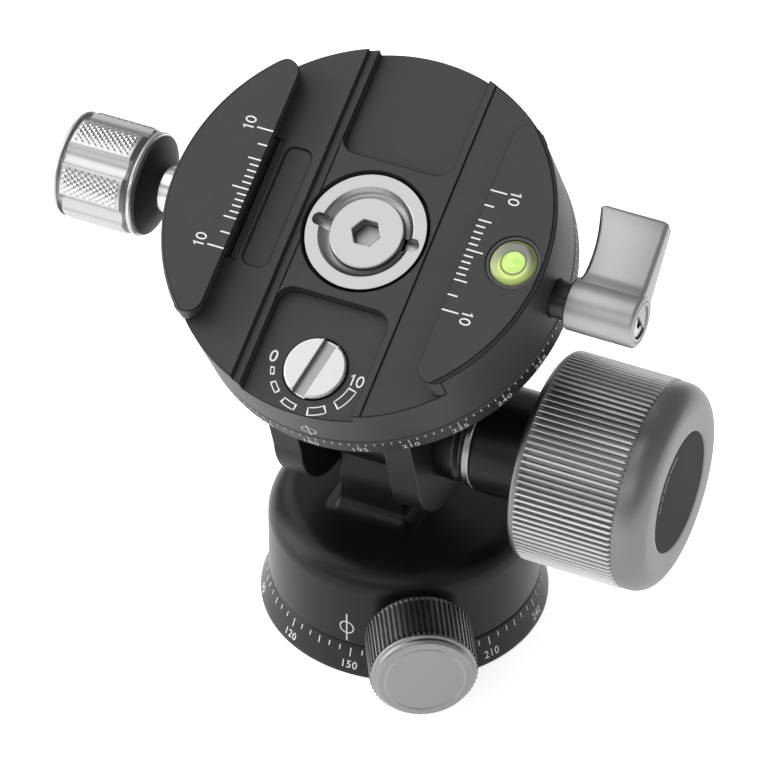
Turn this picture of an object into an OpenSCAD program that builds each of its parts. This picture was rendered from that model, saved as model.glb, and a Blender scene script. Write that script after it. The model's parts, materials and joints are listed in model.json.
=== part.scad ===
// Two-way tripod head with a panning dovetail clamp, in millimetres.
// Origin: centre of the base's bottom face, on the pan axis. +Z is up that axis.
// +X runs along the tilt hinge toward the large lock knob, -Y is the drop side.
// The rest position has the clamp tilted forward by "tilt" about the hinge.

/* [Base and housing] */
// Radius of the base at the floor
base_r = 23.2; // [20:0.1:28]
// Height of the base's graduated band
base_h = 5.3; // [4:0.1:8]
// Radius of the housing barrel
housing_r = 21.8; // [19:0.1:26]
// Height of the housing's flat top
housing_top = 20.8; // [19:0.1:24]
// Radius of the rounded shoulder
shoulder_r = 4.4; // [2:0.1:6]
// Half the tapping hole of the 3/8 inch mounting thread
mount_bore_r = 3.97; // [3.9:0.01:4.2]
// Depth of the mounting thread
mount_depth = 10.5; // [9:0.1:11.5]

/* [Hinge] */
// Distance of the hinge ahead of the pan axis
hinge_y = -4; // [-8:0.1:0]
// Height of the hinge
hinge_z = 40.4; // [38:0.1:44]
// Forward tilt of the clamp at rest
tilt = 30; // [0:1:45]
// Offset of the neck and ears from the pan axis
neck_x = -2; // [-3:0.1:0]
// Width of the neck between the friction discs
neck_w = 11; // [9:0.1:13]
// Thickness of one friction disc with its clearance
disc_t = 2; // [1.5:0.1:2.5]
// Thickness of an ear
ear_t = 4.85; // [4:0.05:6]
// Radius of the ears round the hinge
ear_r = 14; // [12:0.1:15]
// Radius of the neck's head round the hinge
head_r = 9; // [7.5:0.1:9.5]
// Radius of the tilt bolt
bolt_r = 3; // [2.5:0.1:3.5]

/* [Large lock knob] */
// Radius of the ribbed barrel
knob_r = 16.7; // [15:0.1:18]
// Where the barrel starts on the hinge axis
knob_x0 = 26.3; // [26:0.1:30]
// Length of the barrel with its rounded end
knob_len = 21.9; // [18:0.1:24]
// Radius of the hub between washer and barrel
hub_r = 8.8; // [8:0.1:10]
// Radius of the inlaid disc in the end
inlay_r = 10; // [8:0.1:11]
// Number of ribs round the barrel
knob_ribs = 72; // [48:2:80]

/* [Clamp] */
// Radius of the clamp and of its graduated flange
clamp_r = 30; // [29:0.1:33]
// Distance of the clamp's centre behind the hinge plane
clamp_v = 12; // [8:0.1:14]
// Underside of the graduated flange above the hinge
flange_h0 = 27.2; // [26:0.1:30]
// Thickness of the graduated flange
flange_t = 4.5; // [3.5:0.1:6]
// Height of the clamp body from flange to bed
body_t = 10; // [9.5:0.1:12]
// Height of the jaws above the bed
jaw_t = 4.6; // [4:0.1:6]
// Half the mouth between the jaws
mouth = 17.4; // [17:0.1:18]
// Depth of the shallow pockets in the bed
pocket_d = 1.7; // [1:0.1:2]
// Distance the sliding jaw stands open at rest
jaw_open = 0.5; // [0:0.1:1]
// Radius of the jaws' rounded tips
tip_r = 2.4; // [1:0.1:3]

/* [Clamp knob and lever] */
// Height of the clamp screw below the bed
screw_drop = 6.2; // [6:0.1:6.5]
// Radius of the clamp knob
cknob_r = 8.4; // [7.5:0.1:9]
// Length of the clamp knob
cknob_len = 13.3; // [12:0.1:16]
// Distance of the clamp knob from the clamp's centre
cknob_x = 37; // [36.5:0.1:40]
// Number of smooth flutes round the clamp knob
flutes = 6; // [5:1:8]
// Height of the lever's axis below the bed
lever_drop = 5.4; // [5:0.1:6]
// Radius of the lever's barrel
lever_r = 4.1; // [3.8:0.1:4.6]
// Reach of the lever's paddle
lever_len = 16; // [13:0.1:18]

/* [Pan lock knob] */
// Direction of the pan lock knob from the front
pan_az = 30; // [25:1:60]
// Height of the pan lock knob's axis
pan_z = 10.5; // [9.6:0.1:11]
// Radius of the pan lock knob
pknob_r = 8.5; // [7:0.1:8.8]
// Length of the pan lock knob without its cap
pknob_len = 8.7; // [7:0.1:12]
// Number of ribs round the pan lock knob
pknob_ribs = 48; // [36:2:60]

/* [Hidden] */
$fn = 96;
eps = 0.01;           // overlap of cutting tools
run = 0.05;           // running clearance of a turning fit, on the radius
face = 0.05;          // clearance between faces that slide on each other

// Base and pan bearing, from the floor up
ring_z0 = base_h + 0.4;         // retaining ring inside the housing's foot
ring_z1 = ring_z0 + 2.2;
washer_t = 0.4;                 // thrust washers of the pan bearing
spindle_z = ring_z1 + washer_t; // spindle flange rests on the lower washer
spindle_top = spindle_z + 3.4;
cavity_top = spindle_top + washer_t;
spindle_r = 11;
spindle_flange_r = 16;
insert_r = 6;
housing_z0 = base_h + 0.25;
cavity_r = spindle_flange_r + 0.4;
ring_r = 18.4;
screw_circle = 8.6;             // three screws join base and spindle
pan_stud_r = 2.4;
collar_r = pknob_r*0.58;
collar_z0 = housing_r - 0.7;    // its seat in the barrel, along the lock's axis
pknob_z0 = housing_r + 1.35;
pknob_z1 = pknob_z0 + pknob_len;
pcap_seat_r = 4.6;              // spigot of the cap in the knob
pknob_floor = pknob_r - 0.5;    // between the ribs

// Hinge stack along X
neck_x0 = neck_x - neck_w/2;
neck_x1 = neck_x + neck_w/2;
ear_l1 = neck_x0 - disc_t;
ear_l0 = ear_l1 - ear_t;
ear_r0 = neck_x1 + disc_t;
ear_r1 = ear_r0 + ear_t;
spacer_x1 = ear_r1 + 4.6;
thrust_x1 = spacer_x1 + 1.4;
hub_x0 = thrust_x1 + face;
bush_r = bolt_r + 1.6;
bolt_head_r = 6;
knob_x1 = knob_x0 + knob_len;
knob_bore_r = 6;
knob_floor = knob_r - 0.58;     // between the ribs
rib_x0 = knob_x0 + 1.2;
rib_x1 = knob_x1 - 4.8;
knob_end_r = 3.4;               // rounded edge of the knob's outer end
inlay_t = 0.8;

// Clamp heights above the hinge
flange_h1 = flange_h0 + flange_t;
washer_h1 = flange_h1 + 0.15;
bed_h = washer_h1 + body_t;
jaw_top = bed_h + jaw_t;
floor_l = bed_h + 0.8;          // raised strip beside the sliding jaw
boss_r = 12;
boss_h = flange_h1 + 5.3;       // bearing boss of the yoke inside the clamp
lip_h0 = boss_h + 0.2;
lip_h1 = lip_h0 + 1.4;
lip_r = 7.5;
nut_r = 9.4;
nut_top = bed_h - 0.2;
nut_h0 = lip_h1 + face;
cscrew_r = 5.75;
cscrew_h = bed_h - 0.55;
screw_h = bed_h - screw_drop;
lever_h = bed_h - lever_drop;
pocket_x = 9.1;
pocket_v = 11.5;
strip_x = 10.5;                 // edge of the raised strip
ledge_x = 10.4;                 // edge of the ledge beside the fixed jaw
relief_x0 = -16.4;              // relief in the raised strip beside the sliding jaw
relief_v0 = -10.4;
relief_w = 4.3;
relief_l = 20;
relief_c = 1.5;
drag_x = 0.5;
drag_v = -22.4;
drag_r = 4.9;
drag_shank = 2.4;
level_x = 25.1;
level_r = 4.2;

// Lock lever on its stud
lever_x0 = clamp_r + 2.5;
lever_x1 = lever_x0 + 11.2;
lever_web = 3.1;                // inner web that the spring rests on
lever_head = 3.6;               // depth of the screw in the lever's end

// Sliding jaw
tongue_x0 = -24.2;              // at rest, with the jaw open by jaw_open
tongue_x1 = -18.6;
tongue_w = 20;
tongue_h0 = flange_h1 + 1.6;
slot_x0 = -27.4;
slot_x1 = -17.2;
undercut = 2.2;
jaw_lip = 1.2;
tip_gap = 0.02;                 // keeps a tip's circle clear of the edges that it joins
pin_v = 7.2;
pin_r = 1.4;
sleeve_r = 3.65;
cscrew_thread_r = 2;
pin_x0 = 12.6;                  // guide pins, from the clamp's middle to its rim
pin_x1 = clamp_r - 1.8;
spring_x0 = 15;                 // step that the jaw's springs push on

// Clamp knob, measured outward along its screw
cknob_z0 = cknob_x + 0.8;       // barrel behind the rim at the clamp's side
cknob_z1 = cknob_x + cknob_len;
cknob_z2 = cknob_z1 - 1.1;      // groove before the rim at the outer end
rim_r = cknob_r - 0.1;
groove_r = cknob_r - 0.9;
cone_len = 2.2;                 // black cone between sleeve and rim
cone_seat_r = 5.6;
flute_r = 3;                    // radius of a flute and its centre's distance
flute_c = cknob_r + 2.04;
flute_turn = -12;               // from the clamp's upward direction

function arc(cx, cy, r, a0, a1, n = 8) =
    [for (i = [0:n]) let (a = a0 + (a1 - a0)*i/n) [cx + r*cos(a), cy + r*sin(a)]];

module tube(ro, ri, z0, z1) {
    difference() {
        translate([0, 0, z0]) cylinder(r = ro, h = z1 - z0);
        translate([0, 0, z0 - eps]) cylinder(r = ri, h = z1 - z0 + 2*eps);
    }
}
module rod(r, z0, z1) { translate([0, 0, z0]) cylinder(r = r, h = z1 - z0); }
module along_x() { rotate([0, 90, 0]) children(); }
// Straight ribs round a barrel, rooted under its floor; the first stands on the X axis.
module ribs(floor_r, crest_r, count, z0, z1) {
    root = [floor_r - 0.25, 0.8];   // radius, and half width as a share of half the pitch
    crest = [crest_r - 0.03, 0.26];
    translate([0, 0, z0]) linear_extrude(z1 - z0) polygon([for (i = [0:count - 1])
        for (p = [[root[0], -root[1]], [crest[0], -crest[1]], crest, root])
            let (a = 180/count*(2*i + p[1])) p[0]*[cos(a), sin(a)]]);
}
// Frame of the hinge: X along it, Y along the clamp's channel, Z out of its bed.
module hinged() { translate([0, hinge_y, hinge_z]) rotate([tilt, 0, 0]) children(); }
// The same frame, centred on the clamp.
module clamped() { hinged() translate([0, clamp_v, 0]) children(); }
// Frame of the pan lock: Z points outward along its axis.
module pan_lock() { rotate([0, 0, pan_az]) translate([0, 0, pan_z]) rotate([90, 0, 0]) children(); }
// Frame of the clamp screw: Z points outward along it, X out of the bed.
module along_screw() { translate([0, 0, screw_h]) rotate([0, -90, 0]) children(); }
module coil(r, wire, z0, z1, turns) {
    pitch = (z1 - z0 - 2*wire)/(turns - 1);
    for (i = [0:turns - 1]) translate([0, 0, z0 + wire + i*pitch])
        rotate_extrude($fn = 48) translate([r, 0]) circle(r = wire, $fn = 16);
    for (a = [0, 180]) rotate([0, 0, a]) translate([r, 0, z0 + wire])
        cylinder(r = wire*0.7, h = z1 - z0 - 2*wire, $fn = 16);
}

// ---- Base ----
module base_plate() color("#26272a") difference() {
    rotate_extrude() polygon([[0, 0], [base_r - 0.5, 0], [base_r, 0.5],
        [base_r, 1.1], [housing_r, base_h - 0.3], [housing_r - 0.3, base_h], [0, base_h]]);
    rod(insert_r, -eps, base_h + eps);
    for (i = [0:2]) rotate([0, 0, 120*i + 60]) translate([screw_circle, 0, 0]) {
        rod(1.6, -eps, base_h + eps);
        translate([0, 0, -eps]) cylinder(r1 = 2.9, r2 = 1.6, h = 1.6);
    }
    // Shallow ring recess that leaves a flat rim and a flat centre to stand on
    tube(base_r - 3.5, 13.5, -eps, 0.5);
}
module thread_insert() color("#b9babc") difference() {
    rod(insert_r, 0, mount_depth + 0.7);
    rod(mount_bore_r, -eps, mount_depth);
}
module pan_spindle() color("#8d8f92") difference() {
    rotate_extrude() polygon([[insert_r, base_h], [spindle_r, base_h], [spindle_r, spindle_z],
        [spindle_flange_r, spindle_z], [spindle_flange_r, spindle_z + 0.4],
        [spindle_flange_r - 0.8, spindle_z + 1.2], [spindle_flange_r - 0.8, spindle_top - 1.2],
        [spindle_flange_r, spindle_top - 0.4],
        [spindle_flange_r, spindle_top], [insert_r, spindle_top]]);
    for (i = [0:2]) rotate([0, 0, 120*i + 60]) translate([screw_circle, 0, 0])
        rod(1.5, base_h - eps, spindle_top - 0.8);
}
module base_screws() color("#6f7174") for (i = [0:2]) rotate([0, 0, 120*i + 60])
    translate([screw_circle, 0, 0]) difference() {
        union() {
            rod(1.5, 0.2, spindle_top - 1.2);
            translate([0, 0, 0.15]) cylinder(r1 = 2.7, r2 = 1.5, h = 1.35);
        }
        translate([0, 0, 0.1]) cylinder(r = 1, h = 1.2, $fn = 6);
    }
module retaining_ring() color("#55575a") difference() {
    tube(ring_r, spindle_r + 0.3, ring_z0, ring_z1);
    for (a = [0, 180]) rotate([0, 0, a]) translate([(ring_r + spindle_r)/2, 0, 0])
        rod(1.1, ring_z0 - eps, ring_z0 + 1.6);
}
module lower_thrust_washer() color("#d9d4c4")
    tube(spindle_flange_r - 0.2, spindle_r + 0.3, ring_z1, spindle_z - face);
module upper_thrust_washer() color("#d9d4c4")
    tube(spindle_flange_r - 0.6, insert_r + 0.6, spindle_top + face, cavity_top);

// ---- Housing and the neck that stands on it ----
neck_fillet = 2.4;
neck_yf = hinge_y - 4.4;            // front and back faces of the neck
neck_yb = hinge_y + head_r + 2;
module neck_side() {
    // Side view of the neck, as seen along the hinge: y across, z up
    f = neck_fillet;
    polygon(concat(arc(neck_yf - f, housing_top + f, f, -90, 0, 6),
        [[neck_yf, hinge_z - head_r*0.86], [hinge_y, hinge_z], [hinge_y + head_r, hinge_z],
         [neck_yb, housing_top + f + 6]],
        arc(neck_yb + f, housing_top + f, f, 180, 270, 6)));
}
module neck() color("#1d1e20") difference() {
    union() {
        // turn the side view's (y, z) upright and give it the neck's width
        translate([neck_x0, 0, 0]) rotate([90, 0, 90]) linear_extrude(neck_w) neck_side();
        translate([0, hinge_y, hinge_z]) along_x() rod(head_r, neck_x0, neck_x1);
        for (s = [-1, 1]) translate([neck_x + s*neck_w/2, 0, 0]) rotate([90, 0, 0])
            translate([0, 0, -neck_yb]) linear_extrude(neck_yb - neck_yf)
                polygon(concat([[-s*0.5, housing_top]],
                    [for (p = arc(neck_fillet, housing_top + neck_fillet, neck_fillet, 180, 270, 6))
                        [s*p[0], p[1]]]));
    }
    translate([0, hinge_y, hinge_z]) along_x() rod(bush_r, neck_x0 - eps, neck_x1 + eps);
}
module housing_outline() polygon(concat([[0, housing_z0], [housing_r - 0.25, housing_z0],
    [housing_r, housing_z0 + 0.25]],
    arc(housing_r - shoulder_r, housing_top - shoulder_r, shoulder_r, 0, 90, 8), [[0, housing_top]]));
module housing() color("#1d1e20") difference() {
    rotate_extrude() housing_outline();
    rod(ring_r, housing_z0 - eps, ring_z1);
    rod(cavity_r, housing_z0, cavity_top);
    pan_lock() {
        rod(pan_stud_r + run, spindle_flange_r, housing_r + 1);
        rod(collar_r, collar_z0, housing_r + 2);
    }
}
module tilt_bushing() color("#a5854a") translate([0, hinge_y, hinge_z]) along_x()
    tube(bush_r, bolt_r + run, neck_x0, neck_x1);

// ---- Pan lock ----
module pan_brake_shoe() color("#b08a45") pan_lock() difference() {
    rod(pan_stud_r, spindle_flange_r - 0.2, spindle_flange_r + 1.55);
    rotate([-90, 0, 0]) translate([0, 0, -4]) cylinder(r = spindle_flange_r + 0.06, h = 8);
}
module pan_stud() color("#8d8f92") pan_lock() rod(pan_stud_r, spindle_flange_r + 1.6, pknob_z1 - 1);
module pan_knob_collar() color("#c9cacc") pan_lock()
    tube(collar_r, pan_stud_r + run, collar_z0, housing_r + 1.3);
module pan_knob() color("#5f6164") pan_lock() difference() {
    union() {
        // smooth rim at the housing, floor between the ribs, and a groove before the cap
        rotate_extrude() polygon([[0, pknob_z0], [pknob_r - 0.5, pknob_z0], [pknob_r, pknob_z0 + 0.5],
            [pknob_r, pknob_z0 + 0.8], [pknob_floor, pknob_z0 + 1.1], [pknob_floor, pknob_z1 - 0.55],
            [pknob_floor - 0.5, pknob_z1 - 0.5], [pknob_floor - 0.5, pknob_z1], [0, pknob_z1]]);
        ribs(pknob_floor, pknob_r, pknob_ribs, pknob_z0 + 0.75, pknob_z1 - 0.6);
    }
    rod(pan_stud_r, pknob_z0 - eps, pknob_z1);
    rod(pcap_seat_r, pknob_z1 - 1, pknob_z1 + eps);
}
module pan_knob_cap() color("#96989b") pan_lock() difference() {
    z1 = pknob_z1;
    rotate_extrude() polygon([[0, z1 - 1], [pcap_seat_r, z1 - 1], [pcap_seat_r, z1], [pknob_r + 0.1, z1],
        [pknob_r + 0.1, z1 + 0.7], [pknob_r - 0.7, z1 + 1.5], [pknob_r - 1.5, z1 + 1.5],
        [pknob_r - 1.6, z1 + 2], [0, z1 + 2]]);
    rod(pknob_r - 3, z1 + 1.6, z1 + 3);
}

// ---- Yoke: graduated flange, bearing boss and the two ears ----
module ear_side() {
    polygon([[-ear_r, 0], [-ear_r + 1, 5], [-8, flange_h0 + 0.5], [clamp_v + 16, flange_h0 + 0.5],
        [ear_r + 2, 10], [ear_r, 0]]);
}
module yoke() color("#1d1e20") difference() {
    hinged() {
        difference() {
            union() {
                for (x = [ear_l0, ear_r0]) {
                    translate([x, 0, 0]) rotate([90, 0, 90]) linear_extrude(ear_t) ear_side();
                    along_x() rod(ear_r, x, x + ear_t);
                }
                translate([0, clamp_v, 0]) rotate_extrude() polygon([[0, flange_h0],
                    [clamp_r - 0.6, flange_h0], [clamp_r, flange_h0 + 0.6],
                    [clamp_r, flange_h1 - 0.3], [clamp_r - 0.3, flange_h1], [boss_r, flange_h1],
                    [boss_r, boss_h - 0.3], [boss_r - 0.3, boss_h], [0, boss_h]]);
            }
            along_x() rod(bolt_r, ear_l0 - eps, ear_r1 + eps);
            along_x() rod(bolt_head_r, ear_l0 - eps, ear_l0 + 2.6);
            translate([0, clamp_v, 0]) rod(3, flange_h0 - eps, boss_h + eps);
            // relief round the neck's head under the flange
            along_x() rod(head_r + 3, ear_l1 + eps, ear_r0 - eps);
            // groove that the top lock's shoe presses into
            translate([0, clamp_v, lever_h - 0.7]) tube(boss_r + 1, boss_r - 0.5, -0.7, 0.7);
        }
    }
}
module tilt_bolt() color("#9b9da0") hinged() along_x() difference() {
    union() { rod(bolt_head_r - 0.05, ear_l0 + 0.3, ear_l0 + 2.6); rod(bolt_r, ear_l0 + 2, knob_x0 + 4); }
    translate([0, 0, ear_l0]) cylinder(r = 2.9, h = 2, $fn = 6);
}
module left_friction_disc() color("#b9a36a") hinged() along_x()
    tube(head_r - 0.3, bolt_r, ear_l1, neck_x0 - face);
module right_friction_disc() color("#b9a36a") hinged() along_x()
    tube(head_r - 0.3, bolt_r, neck_x1 + face, ear_r0);
module hinge_spacer() color("#232427") hinged() along_x()
    rotate_extrude() polygon([[bolt_r, ear_r1], [hub_r - 0.6, ear_r1], [hub_r - 0.6, spacer_x1 - 1.6],
        [hub_r - 1.4, spacer_x1 - 0.8], [hub_r - 1.4, spacer_x1], [bolt_r, spacer_x1]]);
module hinge_thrust_washer() color("#c9cacc") hinged() along_x()
    rotate_extrude() polygon([[bolt_r, spacer_x1], [hub_r - 0.4, spacer_x1], [hub_r - 0.2, spacer_x1 + 0.2],
        [hub_r - 0.2, thrust_x1 - 0.2], [hub_r - 0.4, thrust_x1], [bolt_r, thrust_x1]]);

// ---- Large lock knob ----
module knob_hub() color("#232427") hinged() along_x() difference() {
    rotate_extrude() polygon([[0, hub_x0], [hub_r - 0.4, hub_x0], [hub_r, hub_x0 + 0.4],
        [hub_r, knob_x0 + 3], [0, knob_x0 + 3]]);
    rod(bolt_r + 0.4, hub_x0 - eps, hub_x0 + 1.3);
    rod(knob_bore_r, hub_x0 + 1.2, knob_x0 + 3 + eps);
}
module knob_bush() color("#b08a45") hinged() along_x()
    difference() {
        rod(knob_bore_r, hub_x0 + 3.6, knob_x0 + 8);
        rod(bolt_r + run, hub_x0, knob_x0 + 5);
        rod(1.6, knob_x0 + 4, knob_x0 + 8 + eps);
    }
module disc_springs() color("#8d8f92") hinged() along_x() {
    for (i = [0, 1]) translate([0, 0, hub_x0 + 1.2 + 1.2*i]) mirror([0, 0, i]) translate([0, 0, -1.2*i])
        difference() {
            cylinder(r1 = knob_bore_r - 0.3, r2 = bolt_r + 1.4, h = 1.2);
            translate([0, 0, -0.5 - eps])
                cylinder(r1 = knob_bore_r + 0.05, r2 = bolt_r + 0.9, h = 1.2);
            rod(bolt_r + 0.4, -eps, 1.2 + eps);
        }
}
module main_knob() color("#4a4c50") hinged() along_x() difference() {
    union() {
        // smooth back rim, floor between the ribs, and a domed shoulder that the ribs stand over
        rotate_extrude() polygon(concat([[0, knob_x0], [knob_r - 1, knob_x0], [knob_r, knob_x0 + 1],
            [knob_r, rib_x0], [knob_floor, rib_x0], [knob_floor, rib_x1], [knob_r - 0.42, rib_x1],
            [knob_r - 0.45, rib_x1 + 0.6]],
            arc(knob_r - 3.95, knob_x1 - knob_end_r, knob_end_r, 0, 80, 7),
            [[inlay_r + 1.2, knob_x1], [0, knob_x1]]));
        ribs(knob_floor, knob_r, knob_ribs, rib_x0 - 0.1, rib_x1 + 0.1);
    }
    rod(hub_r, knob_x0 - eps, knob_x0 + 3);
    rod(knob_bore_r, knob_x0 + 3 - eps, knob_x0 + 8);
    rod(1.6, knob_x0 + 7, knob_x1);
    rod(4, knob_x1 - 6, knob_x1);
    rod(inlay_r, knob_x1 - inlay_t, knob_x1 + eps);
}
module main_knob_screw() color("#8d8f92") hinged() along_x() difference() {
    union() { rod(1.6, knob_x0 + 5.6, knob_x1 - 5); rod(3.2, knob_x1 - 6, knob_x1 - 3); }
    translate([0, 0, knob_x1 - 4.6]) cylinder(r = 1.5, h = 2, $fn = 6);
}
module main_knob_inlay() color("#2b2c2f") hinged() along_x()
    rod(inlay_r - 0.02, knob_x1 - inlay_t, knob_x1 - 0.1);

// ---- Clamp body with the fixed jaw ----
module clamp_washer() color("#3a3b3e") clamped() tube(clamp_r - 1.2, boss_r + 0.6, flange_h1, washer_h1);
module rounded_rect(w, l, c) {
    translate([c, 0]) square([w - 2*c, l]);
    translate([0, c]) square([w, l - 2*c]);
    for (x = [c, w - c], y = [c, l - c]) translate([x, y]) circle(r = c);
}
module pocket(s) {
    // Shallow pocket, open at the clamp's edge, with round inner corners
    c = 2.6;
    translate([0, 0, bed_h - pocket_d]) linear_extrude(pocket_d + 1) scale([1, s]) {
        translate([-pocket_x, pocket_v + c]) square([2*pocket_x, 30]);
        translate([-pocket_x + c, pocket_v]) square([2*pocket_x - 2*c, c + 1]);
        for (x = [-1, 1]) translate([x*(pocket_x - c), pocket_v + c]) circle(r = c);
    }
}
// Cutter, in plan, that rounds both tips of a jaw on the +X side.
module jaw_tips() {
    cx = mouth + tip_r + tip_gap;
    reach = clamp_r - tip_r - tip_gap;
    cv = sqrt(reach*reach - cx*cx);
    for (s = [-1, 1]) scale([1, s]) difference() {
        polygon([[cx, cv], [mouth - 1, cv], [mouth - 1, clamp_r + 2], (clamp_r + 4)/reach*[cx, cv]]);
        translate([cx, cv]) circle(r = tip_r);
    }
}
module clamp_disc(h0, h1, top_chamfer = 0.5) rotate_extrude() polygon([[0, h0], [clamp_r - 0.2, h0],
    [clamp_r, h0 + 0.2], [clamp_r, h1 - top_chamfer], [clamp_r - top_chamfer, h1], [0, h1]]);
module clamp_body() color("#1d1e20") clamped() difference() {
    clamp_disc(washer_h1, jaw_top);
    // the channel: everything between the jaws and above the bed
    translate([-strip_x, -40, bed_h]) cube([strip_x + ledge_x, 80, 10]);
    translate([ledge_x - eps, -40, bed_h - 0.2]) cube([mouth - ledge_x + eps + eps, 80, 10]);
    rotate([90, 0, 0]) translate([0, 0, -40]) linear_extrude(80) polygon([[mouth - 1, jaw_top + 1],
        [mouth, jaw_top + 1], [mouth, jaw_top - jaw_lip], [mouth + undercut, jaw_top - jaw_lip - undercut],
        [mouth + undercut, bed_h - 0.2], [mouth - 1, bed_h - 0.2]]);
    translate([0, 0, bed_h - 0.2]) linear_extrude(10) jaw_tips();
    translate([-40, -40, floor_l]) cube([40 - strip_x + eps, 80, 10]);
    rotate([90, 0, 0]) translate([0, 0, -40]) linear_extrude(80)
        polygon([[-strip_x - 0.1, floor_l + 0.1], [-strip_x + 1.4, bed_h - eps],
            [-strip_x + 1.5, floor_l + 0.1]]);
    // relief in the raised strip, with round corners
    translate([relief_x0, relief_v0, floor_l - 0.4]) linear_extrude(2)
        rounded_rect(relief_w, relief_l, relief_c);
    pocket(1);
    pocket(-1);
    // bearing, lip and seat of the centre nut
    rod(boss_r + run, washer_h1 - eps, lip_h0);
    rod(lip_r + 0.1, lip_h0 - eps, jaw_top);
    rod(nut_r + 0.5, lip_h1, jaw_top);
    // slot for the sliding jaw's tongue, and the holes of its pins and screw
    translate([slot_x0, -tongue_w/2 - 0.15, washer_h1 + 1.2]) cube([slot_x1 - slot_x0, tongue_w + 0.3, 20]);
    along_screw() {
        rod(sleeve_r + run, -tongue_x0 - jaw_open - 0.2, 35);
        rod(cscrew_thread_r + run, pin_x0, -slot_x1 + 1);
    }
    for (s = [-1, 1]) translate([0, s*pin_v, 0]) along_screw() {
        rod(pin_r, pin_x0, pin_x1);
        rod(pin_r + 1, spring_x0, -slot_x1 + 1);
    }
    // lock stud on the far side
    translate([0, 0, lever_h]) along_x() rod(3, 11, 40);
    // drag screw's seat and bore
    translate([drag_x, drag_v, 0]) {
        rod(drag_shank, washer_h1 - eps, bed_h);
        rod(drag_r + 0.1, bed_h - pocket_d - 1.2, bed_h);
    }
    // level
    translate([level_x, 0, 0]) rod(level_r, jaw_top - 4.4, jaw_top + eps);
}
module lip_washer() color("#d9d4c4") clamped() tube(boss_r - 0.4, lip_r + 0.2, boss_h, lip_h0 - face);
module centre_nut() color("#c9cacc") clamped() difference() {
    rotate_extrude() polygon([[0, boss_h], [lip_r - 0.1, boss_h], [lip_r - 0.1, nut_h0], [nut_r, nut_h0],
        [nut_r, nut_top - 0.3], [nut_r - 0.3, nut_top], [0, nut_top]]);
    rod(3, boss_h - eps, nut_top);
    tube(7.3, 0.01, nut_top - 1, nut_top + eps);
    rod(cscrew_r + 0.08, cscrew_h - 1.6, nut_top);
    for (s = [-1, 1]) translate([s*7.6, 0, nut_top - 1.4]) translate([-2, -1.05, 0]) cube([3.6, 2.1, 3]);
}
module centre_screw() color("#c9cacc") clamped() difference() {
    union() {
        rod(3, flange_h0 + 1, cscrew_h - 1);
        rod(cscrew_r, cscrew_h - 1.6, cscrew_h);
    }
    translate([0, 0, cscrew_h - 2.4]) cylinder(r = 2.31, h = 3, $fn = 6);
}

// ---- Sliding jaw and its screw ----
module sliding_jaw() color("#1d1e20") clamped() translate([-jaw_open, 0, 0]) difference() {
    union() {
        intersection() {
            clamp_disc(floor_l + 0.1, jaw_top);
            rotate([90, 0, 0]) translate([0, 0, -40]) linear_extrude(80) polygon([
                [-mouth, jaw_top + 1], [-mouth, jaw_top - jaw_lip],
                [-mouth - undercut, jaw_top - jaw_lip - undercut], [-mouth - undercut, floor_l],
                [-40, floor_l], [-40, jaw_top + 1]]);
        }
        translate([tongue_x0 + jaw_open, -tongue_w/2, tongue_h0])
            cube([tongue_x1 - tongue_x0, tongue_w, floor_l + 0.2 - tongue_h0]);
    }
    translate([0, 0, floor_l]) linear_extrude(10) scale([-1, 1]) jaw_tips();
    along_screw() rod(cscrew_thread_r + 0.4, spring_x0, 40);
    for (s = [-1, 1]) translate([0, s*pin_v, 0]) along_screw() rod(pin_r + run, spring_x0, 40);
}
module jaw_guide_pins() color("#9b9da0") clamped() for (s = [-1, 1]) translate([0, s*pin_v, 0])
    along_screw() rod(pin_r, pin_x0, pin_x1);
module jaw_springs() color("#8d8f92") clamped() for (s = [-1, 1]) translate([0, s*pin_v, 0])
    along_screw() coil(pin_r + 0.5, 0.25, spring_x0, -tongue_x1, 6);
module clamp_screw() color("#8d8f92") clamped() along_screw()
    rod(cscrew_thread_r, pin_x0 + 1, cknob_x + 8);
module clamp_sleeve() color("#c9cacc") clamped() along_screw()
    tube(sleeve_r, cscrew_thread_r, -tongue_x0, cknob_x - cone_len);
module clamp_knob() color("#c2c4c6") clamped() along_screw() difference() {
    // revolved barrel with a chamfer at the clamp's side and a groove before the end rim
    rotate_extrude() polygon([[0, cknob_z0], [groove_r - 0.3, cknob_z0], [cknob_r, cknob_z0 + 1.25],
        [cknob_r, cknob_z2], [groove_r, cknob_z2], [groove_r, cknob_z2 + 0.5], [rim_r, cknob_z2 + 0.5],
        [rim_r, cknob_z1 - 0.3], [rim_r - 0.3, cknob_z1], [0, cknob_z1]]);
    for (i = [0:flutes - 1]) rotate([0, 0, 360/flutes*i + flute_turn]) translate([flute_c, 0, 0])
        rod(flute_r, cknob_z0 - 1, cknob_z2);
    rod(cscrew_thread_r, cknob_z0 - eps, cknob_x + 8);
}
module clamp_knob_rim() color("#d4d5d7") clamped() along_screw() rotate_extrude()
    polygon([[cone_seat_r, cknob_x], [rim_r - 0.4, cknob_x], [rim_r, cknob_x + 0.4],
        [rim_r, cknob_z0], [cone_seat_r, cknob_z0]]);
module clamp_knob_cone() color("#2b2c2f") clamped() along_screw() rotate_extrude()
    polygon([[cscrew_thread_r, cknob_x - cone_len], [sleeve_r + 0.25, cknob_x - cone_len],
        [rim_r - 0.45, cknob_x - 0.3], [rim_r - 0.45, cknob_x], [cone_seat_r, cknob_x],
        [cone_seat_r, cknob_z0], [cscrew_thread_r, cknob_z0]]);

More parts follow.
